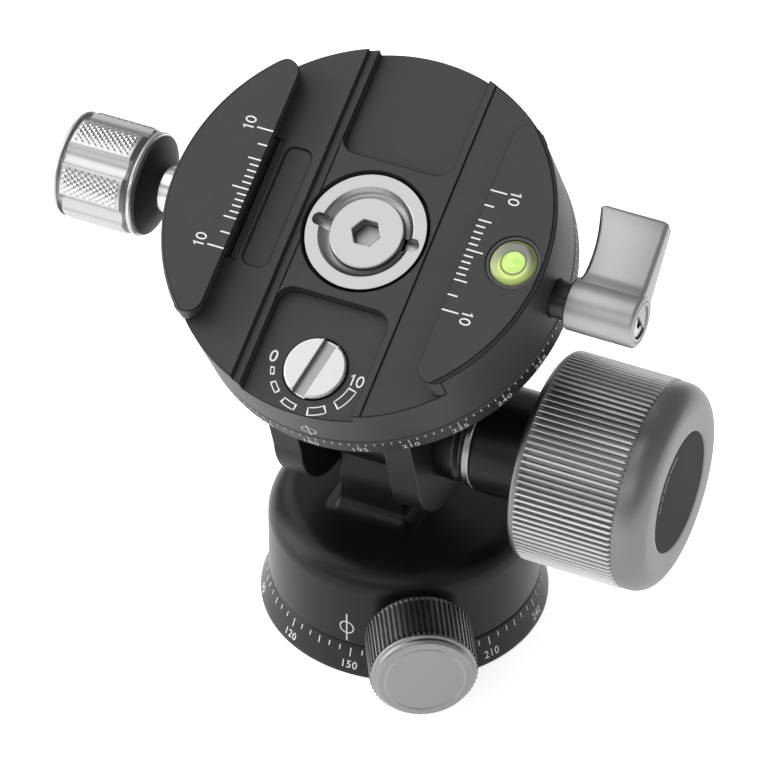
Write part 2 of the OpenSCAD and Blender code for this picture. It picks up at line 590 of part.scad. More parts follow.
// ---- Top lock lever ----
module top_brake_shoe() color("#b08a45") clamped() intersection() {
    translate([0, 0, lever_h]) along_x() rod(2.9, boss_r - 1, boss_r + 2.6);
    tube(boss_r + 8, boss_r + 0.06, lever_h - 5, lever_h + 5);
}
module lever_stud() color("#3a3b3e") clamped() translate([0, 0, lever_h]) along_x() {
    rod(2.9, boss_r + 2.65, lever_x0 - 0.05);
    rod(1.9, lever_x0 - 0.1, lever_x1 - lever_head);
}
module lever_arm() color("#6a6c70") clamped() translate([0, 0, lever_h]) difference() {
    x0 = lever_x0; x1 = lever_x1;
    union() {
        along_x() rotate_extrude() polygon([[0, x0], [lever_r - 0.3, x0], [lever_r, x0 + 0.3],
            [lever_r, x1 - 0.4], [lever_r - 0.4, x1], [0, x1]]);
        intersection() {
            // plan of the paddle: hollow on the side that faces the clamp
            translate([0, 0, -6]) linear_extrude(12) polygon(concat([[x0 + 0.4, 0]],
                [for (i = [0:8]) let (t = i/8) [x0 + 0.4 + 2.3*sin(180*t) - 1.4*t, lever_len*t]],
                [[x1 - 1.2, lever_len], [x1, 0]]));
            // side view: thick at the barrel and thin at the tip
            rotate([90, 0, 90]) linear_extrude(60) polygon([[0, -lever_r], [3, -lever_r + 0.4],
                [lever_len - 0.5, -1.6], [lever_len, -1.1], [lever_len, 1.1], [lever_len - 0.5, 1.6],
                [3, lever_r - 0.4], [0, lever_r]]);
        }
    }
    along_x() { rod(1.95, x0 - eps, x1); rod(2.6, x0 + lever_web, x1 + eps); }
}
module lever_spring() color("#8d8f92") clamped() translate([0, 0, lever_h]) along_x()
    coil(2.2, 0.2, lever_x0 + lever_web, lever_x1 - lever_head, 4);
module lever_screw() color("#c9cacc") clamped() translate([0, 0, lever_h]) along_x() difference() {
    rod(2.3, lever_x1 - lever_head, lever_x1 - 0.3);
    translate([0, 0, lever_x1 - 1.5]) cylinder(r = 1.15, h = 2, $fn = 6);
}

// ---- Drag screw and level ----
module drag_screw() color("#c9cacc") clamped() translate([drag_x, drag_v, 0]) difference() {
    top = bed_h - pocket_d + 0.7;
    union() {
        rod(drag_shank - run, flange_h1 + 4.6, bed_h - pocket_d - 1);
        rotate_extrude() polygon([[0, bed_h - pocket_d - 1.2], [drag_r, bed_h - pocket_d - 1.2],
            [drag_r, top - 0.3], [drag_r - 0.3, top], [0, top]]);
    }
    rotate([0, 0, -11]) translate([-1.05, -6, top - 1]) cube([2.1, 12, 3]);
}
module drag_spring() color("#8d8f92") clamped() translate([drag_x, drag_v, 0])
    coil(1.7, 0.3, flange_h1 + 1.8, flange_h1 + 4.6, 4);
module drag_pad() color("#e4e2da") clamped() translate([drag_x, drag_v, 0])
    rod(drag_shank - run, washer_h1, flange_h1 + 1.8);
module level_cup() color("#3a3b3e") clamped() translate([level_x, 0, 0]) difference() {
    rod(level_r, jaw_top - 4.4, jaw_top - 0.2);
    rod(level_r - 0.5, jaw_top - 3.8, jaw_top);
}
module level_vial() color("#a6d420") clamped() translate([level_x, 0, 0]) difference() {
    rotate_extrude() polygon(concat([[0, jaw_top - 3.8], [level_r - 0.5, jaw_top - 3.8],
        [level_r - 0.5, jaw_top - 0.5]],
        [for (i = [1:6]) [(level_r - 0.5)*cos(15*i), jaw_top - 0.5 + 0.5*sin(15*i)]]));
    translate([0, 0, jaw_top - 1.3]) cylinder(r = 1.5, h = 0.7);
}
module level_bubble() color("#e8f6b0") clamped() translate([level_x, 0, jaw_top - 1.3])
    cylinder(r = 1.5, h = 0.7);

base_plate();
thread_insert();
pan_spindle();
base_screws();
retaining_ring();
lower_thrust_washer();
upper_thrust_washer();
housing();
neck();
tilt_bushing();
pan_brake_shoe();
pan_stud();
pan_knob_collar();
pan_knob();
pan_knob_cap();
yoke();
tilt_bolt();
left_friction_disc();
right_friction_disc();
hinge_spacer();
hinge_thrust_washer();
knob_hub();
knob_bush();
disc_springs();
main_knob();
main_knob_screw();
main_knob_inlay();
clamp_washer();
clamp_body();
lip_washer();
centre_nut();
centre_screw();
sliding_jaw();
jaw_guide_pins();
jaw_springs();
clamp_screw();
clamp_sleeve();
clamp_knob();
clamp_knob_rim();
clamp_knob_cone();
top_brake_shoe();
lever_stud();
lever_arm();
lever_spring();
lever_screw();
drag_screw();
drag_spring();
drag_pad();
level_cup();
level_vial();
level_bubble();
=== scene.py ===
"""Visual model of a two-way tripod head with a panning dovetail clamp.

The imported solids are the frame. Each sub-assembly is a class whose fields hold
its sizes in millimetres and whose methods build its meshes, dress them and let
them ride on their bodies.
"""
import json
import logging
import math
from dataclasses import dataclass, replace
from enum import Enum
from typing import Callable, Optional, Sequence, Union

import bmesh
import bpy
from mathutils import Matrix, Vector

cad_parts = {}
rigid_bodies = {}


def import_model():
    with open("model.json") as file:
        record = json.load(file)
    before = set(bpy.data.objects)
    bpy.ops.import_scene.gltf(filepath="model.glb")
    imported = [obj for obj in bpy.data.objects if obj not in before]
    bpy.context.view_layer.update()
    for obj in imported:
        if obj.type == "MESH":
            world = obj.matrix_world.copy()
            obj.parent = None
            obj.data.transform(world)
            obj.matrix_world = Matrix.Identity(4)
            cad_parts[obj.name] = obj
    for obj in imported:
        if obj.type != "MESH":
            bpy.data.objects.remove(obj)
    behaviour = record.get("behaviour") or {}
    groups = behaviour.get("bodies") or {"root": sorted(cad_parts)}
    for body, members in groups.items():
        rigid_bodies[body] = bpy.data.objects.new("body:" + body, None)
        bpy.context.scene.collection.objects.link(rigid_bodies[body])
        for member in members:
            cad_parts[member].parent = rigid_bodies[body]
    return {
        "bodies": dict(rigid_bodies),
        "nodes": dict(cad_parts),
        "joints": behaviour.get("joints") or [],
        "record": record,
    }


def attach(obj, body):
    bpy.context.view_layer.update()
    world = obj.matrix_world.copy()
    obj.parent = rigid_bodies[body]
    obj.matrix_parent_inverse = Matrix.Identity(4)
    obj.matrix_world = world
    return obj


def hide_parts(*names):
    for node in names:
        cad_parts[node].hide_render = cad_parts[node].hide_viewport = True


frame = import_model()

log = logging.getLogger("tripod_head")
MM = 0.001
TAU = 2 * math.pi
PAINT_LIFT = 0.02
Colour = tuple[float, float, float]
Form = bmesh.types.BMesh
Outline = list[tuple[float, float]]
Profile = Sequence[tuple[float, float]]


# ---------------------------------------------------------------- placement
def turn(degrees: float, axis: str) -> Matrix:
    """Rotation by an angle in degrees about a named axis."""
    return Matrix.Rotation(math.radians(degrees), 4, axis)


def shift(x: float, y: float, z: float) -> Matrix:
    """Translation by millimetres, in metres."""
    return Matrix.Translation(Vector((x, y, z)) * MM)


HINGE_Y, HINGE_Z = -4.0, 40.4
SCREW_HEIGHT, LEVER_HEIGHT = 35.65, 36.45
UPRIGHT = Matrix.Identity(4)
HINGE = shift(0, HINGE_Y, HINGE_Z) @ turn(30, "X")
CLAMP = HINGE @ shift(0, 12, 0)
KNOB = HINGE @ turn(90, "Y")
SCREW = CLAMP @ shift(0, 0, SCREW_HEIGHT) @ turn(-90, "Y")
LEVER = CLAMP @ shift(0, 0, LEVER_HEIGHT) @ turn(90, "Y")
DRAG = CLAMP @ shift(0.5, -22.4, 0)
LEVEL = CLAMP @ shift(25.1, 0, 0)
PAN_LOCK = turn(30, "Z") @ shift(0, 0, 10.5) @ turn(90, "X")
AXES = {"": UPRIGHT, "pan": UPRIGHT, "hinge": KNOB, "clamp": CLAMP, "screw": SCREW, "lever": LEVER,
        "drag": DRAG, "level": LEVEL, "pan_lock": PAN_LOCK}


# ---------------------------------------------------------------- node trees
def operator(operation: str, flipped: bool = False) -> Callable[["Sock", "Value"], "Sock"]:
    """Makes a method that overloads an operator with a Math node.

    Args:
        operation: The Math node's operation.
        flipped: Whether the other value stands on the left.

    Returns:
        The method.
    """
    def method(self: "Sock", other: "Value") -> "Sock":
        """Adds the node and gives its result."""
        return self.calc(operation, *((other, self) if flipped else (self, other)))

    return method


class Sock:
    """One value in a node tree; arithmetic on it adds Math nodes."""

    def __init__(self, graph: "Graph", socket: bpy.types.NodeSocket) -> None:
        """Wraps one output of a node in a tree."""
        self.graph, self.socket = graph, socket

    def calc(self, operation: str, *terms: "Value") -> "Sock":
        """Adds a Math node with its inputs in order."""
        return self.graph.node("ShaderNodeMath", {"operation": operation}, dict(enumerate(terms)))

    __add__, __radd__ = operator("ADD"), operator("ADD", True)
    __sub__, __rsub__ = operator("SUBTRACT"), operator("SUBTRACT", True)
    __mul__, __rmul__ = operator("MULTIPLY"), operator("MULTIPLY", True)
    __truediv__ = operator("DIVIDE")

    def floor(self) -> "Sock":
        """Whole part."""
        return self.calc("FLOOR", self)

    def ramp(self, low: float, high: float) -> "Sock":
        """Smooth step from 0 at the low value to 1 at the high one."""
        return self.graph.node("ShaderNodeMapRange", {"interpolation_type": "SMOOTHSTEP"},
                               {"Value": self, "From Min": low, "From Max": high})


Value = Union[Sock, float, int, bool, Sequence[float], str, None]


class Graph:
    """A node tree that is built through one method."""

    def __init__(self, tree: bpy.types.NodeTree) -> None:
        """Wraps the node tree to build in."""
        self.tree = tree

    def node(self, kind: str, settings: Optional[dict] = None,
             sockets: Optional[dict] = None, out: Union[int, str] = 0) -> Sock:
        """Adds one node.

        Args:
            kind: The node's type.
            settings: Properties, set before the sockets; "stops" fills a colour ramp.
            sockets: Values or links, by the input's name or number.
            out: The output to return.

        Returns:
            That output.
        """
        made = self.tree.nodes.new(kind)
        for key, value in (settings or {}).items():
            if key == "stops":
                ramp = made.color_ramp
                while len(ramp.elements) < len(value):
                    ramp.elements.new(0.5)
                for element, (place, shade) in zip(ramp.elements, value):
                    element.position, element.color = place, (*shade, 1.0)
            else:
                setattr(made, key, value)
        for key, value in (sockets or {}).items():
            if isinstance(value, Sock):
                self.tree.links.new(value.socket, made.inputs[key])
            else:
                made.inputs[key].default_value = value
        return Sock(self, made.outputs[out]) if len(made.outputs) else Sock(self, None)

    def vector(self, operation: str, *terms: Value, out: Union[int, str] = 0) -> Sock:
        """Adds a Vector Math node with its inputs in order and gives one output."""
        return self.node("ShaderNodeVectorMath", {"operation": operation}, dict(enumerate(terms)), out)

    def surface(self, sockets: dict) -> None:
        """Ends a material's tree with a Principled surface."""
        result = self.node("ShaderNodeBsdfPrincipled", {}, sockets)
        self.node("ShaderNodeOutputMaterial", {}, {"Surface": result})

    def blend(self, factor: Value, first: Value, second: Value) -> Sock:
        """Mixes two colours or links: a factor of 0 gives the first, 1 the second."""
        tone = [(*c, 1.0) if isinstance(c, tuple) else c for c in (first, second)]
        return self.node("ShaderNodeMix", {"data_type": "RGBA"}, {0: factor, 6: tone[0], 7: tone[1]}, 2)


# ---------------------------------------------------------------- finishes
def shader(name: str) -> tuple[bpy.types.Material, Graph]:
    """Starts a material.

    Args:
        name: Its name.

    Returns:
        The material and its empty node tree.
    """
    material = bpy.data.materials.new(name)
    material.use_nodes = True
    material.node_tree.nodes.clear()
    return material, Graph(material.node_tree)


class Grain(Enum):
    """How a surface was made."""

    BLASTED = "blasted"
    TURNED = "turned"
    POLISHED = "polished"
    MOULDED = "moulded"


@dataclass(frozen=True)
class Finish:
    """A metal or plastic surface with its grain, tone and lathe marks."""

    name: str
    slot: str
    colour: Colour
    metallic: float
    roughness: float
    grain: Grain = Grain.BLASTED
    grain_mm: float = 0.14
    depth: float = 0.10
    tone: float = 0.18
    coat: float = 0.0
    specular: float = 0.5
    # True: rounded edges lighter from wear; False: rounded edges darker, painted edge shade.
    worn: bool = True

    def edge(self) -> "Finish":
        """The same finish on a rounded edge: lighter and polished by handling, or else darker with painted
        edge shade.

        Returns:
            The edge's finish.
        """
        # Lighter where handling wears the edge; otherwise darkened to 0.35 of the colour as painted shade.
        tone = tuple(c * 1.25 + 0.008 if self.worn else c * 0.35 for c in self.colour)
        return replace(self, name=self.name + "_edge", colour=tone,
                       specular=min(0.5, self.specular * (2.0 if self.worn else 0.5)),
                       roughness=self.roughness * 0.8, depth=self.depth * 0.4)

    def material(self, axis: Matrix = UPRIGHT, label: str = "") -> bpy.types.Material:
        """Builds the material, or finds it if it exists.

        Args:
            axis: Frame whose Z is the axis that the piece was turned about.
            label: Names the axis, as materials are shared by name.

        Returns:
            The material.
        """
        name = f"{self.name}{label and '_' + label}"
        if name in bpy.data.materials:
            return bpy.data.materials[name]
        material, graph = shader(name)
        here = self.place(graph, axis)
        mark, rough = self.relief(graph, here)
        patch = self.noise(graph, here, 9.0, 3.0)
        dust = self.noise(graph, here, 0.9, 2.0)
        shade = graph.blend(patch.ramp(0.35, 0.7) * self.tone + dust.ramp(0.45, 0.75) * (self.tone * 0.5),
                            self.colour, tuple(min(1.0, c * 1.35 + 0.012) for c in self.colour))
        bump = graph.node("ShaderNodeBump", {}, {"Strength": self.depth, "Distance": 0.00004, "Height": mark})
        graph.surface({"Base Color": shade, "Metallic": self.metallic, "Coat Weight": self.coat,
                       "Specular IOR Level": self.specular, "Normal": bump,
                       "Roughness": rough + patch * (self.roughness * 0.18) - self.roughness * 0.09})
        material.diffuse_color = (*self.colour, 1.0)
        return material

    @staticmethod
    def place(graph: Graph, axis: Matrix) -> Sock:
        """Object coordinates seen from the piece's own axis, in metres.

        Args:
            graph: The material's tree.
            axis: The piece's frame.

        Returns:
            The coordinates.
        """
        back = axis.inverted()
        return graph.node("ShaderNodeMapping", {"vector_type": "POINT"}, {
            "Vector": graph.node("ShaderNodeTexCoord", {}, {}, "Object"),
            "Location": back.to_translation(), "Rotation": back.to_euler()})

    @staticmethod
    def noise(graph: Graph, here: Sock, size_mm: float, detail: float) -> Sock:
        """Soft noise about 0.5, with patches of a size in millimetres."""
        return graph.node("ShaderNodeTexNoise", {}, {
            "Vector": here, "Scale": 1.0 / (size_mm * MM), "Detail": detail, "Roughness": 0.55})

    def relief(self, graph: Graph, here: Sock) -> tuple[Sock, Sock]:
        """Height and roughness of the grain.

        Args:
            graph: The material's tree.
            here: Coordinates in the piece's frame.

        Returns:
            (height, roughness).
        """
        fine = self.noise(graph, here, self.grain_mm, 2.0)
        if self.grain is Grain.TURNED:
            part = graph.node("ShaderNodeSeparateXYZ", {}, {0: here}, 2)
            flat = graph.vector("MULTIPLY", here, (1.0, 1.0, 0.0))
            ring = graph.vector("LENGTH", flat, out="Value")
            cut = graph.node("ShaderNodeTexNoise", {"noise_dimensions": "1D"},
                             {"W": (ring + part) * (1.0 / (self.grain_mm * MM)), "Detail": 3.0})
            return cut * 0.8 + fine * 0.2, cut * (self.roughness * 0.35) + self.roughness * 0.82
        if self.grain is Grain.POLISHED:
            return fine * 0.5, fine * (self.roughness * 0.2) + self.roughness * 0.9
        if self.grain is Grain.MOULDED:
            scale = 0.7 / (self.grain_mm * MM)
            cell = graph.node("ShaderNodeTexVoronoi", {}, {"Vector": here, "Scale": scale})
            return cell * 0.6 + fine * 0.4, fine * (self.roughness * 0.25) + self.roughness * 0.85
        return fine * 1.0, fine * (self.roughness * 0.3) + self.roughness * 0.85


# Its rounded edges get painted edge shade, darker than its faces.
BLACK = Finish("black_anodised", "anodised_black", (0.052, 0.052, 0.054), 0.0, 0.44, specular=0.14,
               worn=False)
BARREL = replace(BLACK, name="black_turned_barrel", colour=(0.006, 0.006, 0.007), roughness=0.33,
                 grain=Grain.TURNED, grain_mm=0.12, specular=0.22, worn=True)
BLACK_DEEP = Finish("black_matt_cone", "anodised_black", (0.008, 0.008, 0.009), 0.0, 0.55, Grain.TURNED, 0.3)
GREY = Finish("titanium_grey", "gunmetal", (0.190, 0.192, 0.195), 1.0, 0.40, Grain.TURNED, 0.09, 0.10, 0.12)
# Painted highlight: rib crests in a much lighter copy of the knob's grey.
RIB_HIGHLIGHT_GREY = replace(GREY, name="rib_crests_highlight", colour=(0.52, 0.52, 0.525), roughness=0.36)
PAN_GREY = replace(GREY, name="pan_knob_grey", colour=(0.19, 0.19, 0.192), roughness=0.42)
CAP_GREY = Finish("cap_grey", "gunmetal", (0.24, 0.24, 0.24), 1.0, 0.38, Grain.TURNED, 0.06, 0.12, 0.10)
SILVER = Finish("bright_turned", "bright", (0.66, 0.66, 0.665), 1.0, 0.26, Grain.TURNED, 0.05, 0.10, 0.06)
CHROME = Finish("bright_polished", "bright", (0.45, 0.45, 0.455), 1.0, 0.32, Grain.POLISHED, 0.2, 0.05, 0.05)
STEEL = Finish("turned_steel", "steel", (0.52, 0.53, 0.54), 1.0, 0.28, Grain.TURNED, 0.08, 0.12, 0.1)
DARK_STEEL = Finish("black_oxide", "dark_steel", (0.055, 0.055, 0.06), 1.0, 0.36, Grain.TURNED, 0.1, 0.1,
                    0.15)
BRONZE = Finish("sintered_bronze", "bronze", (0.52, 0.33, 0.13), 1.0, 0.42, Grain.MOULDED, 0.12, 0.12, 0.25)
POLYMER = Finish("bearing_polymer", "polymer", (0.78, 0.75, 0.66), 0.0, 0.45, Grain.MOULDED, 0.2, 0.08, 0.1)
INLAY = Finish("matt_inlay", "inlay", (0.012, 0.012, 0.013), 0.0, 0.50, Grain.MOULDED, 0.10, 0.10, 0.1,
               specular=0.05)
PAINT = Finish("white_filling", "polymer", (0.86, 0.86, 0.85), 0.0, 0.55, Grain.MOULDED, 0.08, 0.10, 0.04)


@dataclass(frozen=True)
class LevelFluid:
    """Green fluid under a clear dome, brighter in the bubble's window; painted shade darkens it toward +Y and
    toward the cup's wall, and a painted highlight brightens an arc beside the window.
    """

    window_mm: float = 1.75
    ring_mm: float = 0.24

    def material(self, axis: Matrix) -> bpy.types.Material:
        """Builds the material.

        Args:
            axis: Frame of the level, Z out of it.

        Returns:
            The material.
        """
        material, graph = shader("level_fluid")
        here = Finish.place(graph, axis)
        flat = graph.vector("MULTIPLY", here, (1.0, 1.0, 0.0))
        reach = graph.vector("LENGTH", flat, out="Value") * (1.0 / MM)
        low = graph.vector("LENGTH", graph.vector("ADD", flat, (0.0, 0.0004, 0.0)), out="Value") * (1.0 / MM)
        inside = 1 - reach.ramp(self.window_mm - 0.05, self.window_mm + 0.05)
        outer = self.window_mm + self.ring_mm
        ring = (1 - inside) * (1 - reach.ramp(outer, outer + 0.12))
        # Painted highlight: a lighter green arc just outside the window, on its -Y side.
        highlight_crescent = (1 - low.ramp(2.15, 2.3)) * (1 - inside)
        # Painted shade: the fluid darkens toward the cup's wall.
        rim = reach.ramp(3.1, 3.4)
        cloud = Finish.noise(graph, here, 1.2, 2.0).ramp(0.4, 0.65)
        # Painted shade: the fluid runs from dark green at +Y to light green at -Y.
        side = graph.node("ShaderNodeSeparateXYZ", {}, {0: here}, 1) * (-1.0 / MM)
        body = graph.blend(side.ramp(-2.5, 3.0), (0.10, 0.11, 0.075), (0.46, 0.58, 0.16))
        body = graph.blend(highlight_crescent * 0.9, body, (0.62, 0.84, 0.10))
        body = graph.blend(rim * 0.8, body, (0.16, 0.22, 0.03))
        body = graph.blend(inside, body, graph.blend(cloud * 0.5, (0.50, 0.80, 0.08), (0.72, 0.92, 0.25)))
        body = graph.blend(ring * 0.92, body, (0.03, 0.06, 0.01))
        graph.surface({"Base Color": body, "Roughness": cloud * 0.02 + 0.16, "Coat Weight": 1.0,
                       "Coat Roughness": 0.02})
        return material


# ---------------------------------------------------------------- meshes
def plain(form: Form, name: str = "blank") -> bpy.types.Mesh:
    """Turns an editable mesh into a stored one.

    Args:
        form: The mesh; it is freed.
        name: Its new name.

    Returns:
        The stored mesh.
    """
    mesh = bpy.data.meshes.new(name)
    form.to_mesh(mesh)
    form.free()
    return mesh


def opened(mesh: bpy.types.Mesh) -> Form:
    """Turns a stored mesh into an editable one.

    Args:
        mesh: The mesh; it is removed.

    Returns:
        The editable mesh.
    """
    form = bmesh.new()
    form.from_mesh(mesh)
    bpy.data.meshes.remove(mesh)
    return form


def stand(data: bpy.types.ID) -> bpy.types.Object:
    """Puts a mesh or a curve in the scene for a moment.

    Args:
        data: The mesh or curve.

    Returns:
        Its object.
    """
    thing = bpy.data.objects.new("blank", data)
    bpy.context.scene.collection.objects.link(thing)
    return thing


def harvest(thing: bpy.types.Object, *tools: bpy.types.Object) -> bpy.types.Mesh:
    """Bakes an object's modifiers into a plain mesh.

    Args:
        thing: The object; it is removed.
        *tools: Objects that its modifiers use; they are removed too.

    Returns:
        The mesh.
    """
    mesh = bpy.data.meshes.new_from_object(thing.evaluated_get(bpy.context.evaluated_depsgraph_get()))
    for modifier in list(thing.modifiers):
        thing.modifiers.remove(modifier)
    for old in (thing, *tools):
        data = old.data
        bpy.data.objects.remove(old)
        bpy.data.batch_remove((data,))
    return mesh


def rib_profile(side: Profile) -> Outline:
    """A rib's section from one of its flanks, given from the root up."""
    return [(x, -y) for x, y in side] + list(side)[::-1]


def lathe(profile: Profile, segments: int = 128, closed: bool = True) -> Form:
    """Turns a profile about Z.

    Args:
        profile: Points (radius, height) in millimetres.
        segments: Steps round the axis.
        closed: Whether the last point joins the first.

    Returns:
        The mesh, in metres.
    """
    form = bmesh.new()
    rings = []
    for radius, height in profile:
        if radius < 1e-6:
            rings.append([form.verts.new((0, 0, height * MM))])
        else:
            rings.append([form.verts.new((radius * MM * math.cos(TAU * i / segments),
                                          radius * MM * math.sin(TAU * i / segments), height * MM))
                          for i in range(segments)])
    pairs = list(zip(rings, rings[1:])) + ([(rings[-1], rings[0])] if closed else [])
    for one, two in pairs:
        if len(one) == 1 and len(two) == 1:
            continue
        for i in range(segments):
            k = (i + 1) % segments
            corners = [one[i % len(one)], one[k % len(one)], two[k % len(two)], two[i % len(two)]]
            form.faces.new(list(dict.fromkeys(corners)))
    bmesh.ops.recalc_face_normals(form, faces=form.faces)
    return form


def arc(x: float, y: float, radius: float, start: float, end: float, steps: int = 8) -> Outline:
    """Points on an arc about (x, y), from one angle to another in degrees."""
    angles = [math.radians(start + (end - start) * i / steps) for i in range(steps + 1)]
    return [(x + radius * math.cos(a), y + radius * math.sin(a)) for a in angles]


def box(left: float, right: float, half: float) -> Outline:
    """Corners of a rectangle from left to right, and half its width to each side of X."""
    return [(left, -half), (right, -half), (right, half), (left, half)]


def cushion(x0: float, x1: float, y0: float, y1: float, radius: float, steps: int) -> Outline:
    """A rectangle with round corners, given by the corners' centres and their radius."""
    centres = ((x1, y1, 0), (x0, y1, 90), (x0, y0, 180), (x1, y0, 270))
    return [point for x, y, start in centres for point in arc(x, y, radius, start, start + 90, steps)]


def prism(outline: Profile, low: float, high: float) -> Form:
    """A closed prism along Z over an outline, from one height to another in millimetres."""
    return loft([[(x, y, z) for x, y in outline] for z in (low, high)])


def strip(points: Profile, width: float, closed: bool = False) -> Form:
    """A flat painted line in the XY plane.

    Args:
        points: Middle line, in millimetres.
        width: Width, in millimetres.
        closed: Whether it ends where it starts.

    Returns:
        The mesh, in metres, facing +Z.
    """
    form = bmesh.new()
    count = len(points)
    pairs = []
    for i, point in enumerate(points):
        back = Vector(points[i - 1 if closed or i else 0])
        ahead = Vector(points[(i + 1) % count if closed or i < count - 1 else i])
        run, here = (ahead - back).normalized(), Vector(point)
        mitre = 1.0
        if (closed or 0 < i < count - 1) and (here - back).length > 0 and (ahead - here).length > 0:
            mitre = 1.0 / max(0.5, abs((here - back).normalized().dot(run)))
        side = Vector((-run.y, run.x)) * width / 2 * mitre
        pairs.append([form.verts.new((*((here + s * side) * MM), 0.0)) for s in (1, -1)])
    for i in range(count if closed else count - 1):
        k = (i + 1) % count
        form.faces.new((pairs[i][0], pairs[i][1], pairs[k][1], pairs[k][0]))
    bmesh.ops.recalc_face_normals(form, faces=form.faces)
    if form.faces and sum(f.normal.z * f.calc_area() for f in form.faces) < 0:
        bmesh.ops.reverse_faces(form, faces=form.faces)
    return form


def lettering(text: str, height: float, spacing: float = 1.0) -> Form:
    """Flat figures in the plain built-in type, centred on the origin.

    Args:
        text: Figures to write.
        height: Height of a figure, in millimetres.
        spacing: Space between the figures.

    Returns:
        The mesh, in metres, facing +Z.
    """
    curve = bpy.data.curves.new("figures", "FONT")
    curve.body, curve.size, curve.resolution_u = text, height * MM / 0.72, 4
    curve.align_x, curve.align_y, curve.space_character = "CENTER", "CENTER", spacing
    curve.offset = height * MM * 0.012
    form = opened(harvest(stand(curve)))
    bmesh.ops.remove_doubles(form, verts=form.verts, dist=1e-7)
    mid = (max(v.co.y for v in form.verts) + min(v.co.y for v in form.verts)) / 2
    for vert in form.verts:
        vert.co.y -= mid
    return form


def ten(height: float) -> Form:
    """The figure 10 in single strokes, centred on the origin.

    Args:
        height: Height of the figure, in millimetres.

    Returns:
        The mesh, in metres, facing +Z.
    """
    h = height
    oval = [(0.30 * h + 0.25 * h * math.cos(TAU * i / 28), 0.43 * h * math.sin(TAU * i / 28))
            for i in range(28)]
    return join([strip([(-0.33 * h, -0.49 * h), (-0.33 * h, 0.49 * h)], 0.13 * h),
                 strip([(-0.55 * h, 0.26 * h), (-0.30 * h, 0.42 * h)], 0.11 * h),
                 strip(oval, 0.13 * h, True)])


def loft(rings: Sequence[Sequence[tuple[float, float, float]]]) -> Form:
    """A closed skin over rings of points.

    Args:
        rings: Rings with equal numbers of points, in millimetres.

    Returns:
        The mesh, in metres.
    """
    form = bmesh.new()
    rows = [[form.verts.new(Vector(point) * MM) for point in ring] for ring in rings]
    for one, two in zip(rows, rows[1:]):
        for i in range(len(one)):
            k = (i + 1) % len(one)
            form.faces.new((one[i], one[k], two[k], two[i]))
    form.faces.new(rows[0][::-1])
    form.faces.new(rows[-1])
    bmesh.ops.recalc_face_normals(form, faces=form.faces)
    return form


def carved(form: Form, cutters: Sequence[Form]) -> Form:
    """Cuts closed meshes out of a closed mesh.

    Args:
        form: The mesh to cut; it is freed.
        cutters: What is taken away; they are freed.

    Returns:
        The mesh that is left.
    """
    blank, tool = (stand(plain(shape)) for shape in (form, join(cutters)))
    modifier = blank.modifiers.new("cut", "BOOLEAN")
    modifier.operation, modifier.solver, modifier.object = "DIFFERENCE", "EXACT", tool
    return opened(harvest(blank, tool))


def bend(form: Form, rule: Callable[[float, float, float], Vector]) -> Form:
    """Moves each vertex by a rule.

    Args:
        form: The mesh, in metres.
        rule: Takes x, y, z in millimetres and gives the new place in millimetres.

    Returns:
        The same mesh.
    """
    for vert in form.verts:
        vert.co = rule(*(vert.co / MM)) * MM
    return form


def join(forms: Sequence[Form]) -> Form:
    """Puts meshes together.

    Args:
        forms: The meshes; they are freed.

    Returns:
        One mesh.
    """
    whole = bmesh.new()
    for mesh in [plain(form) for form in forms]:
        whole.from_mesh(mesh)
        bpy.data.meshes.remove(mesh)
    return whole


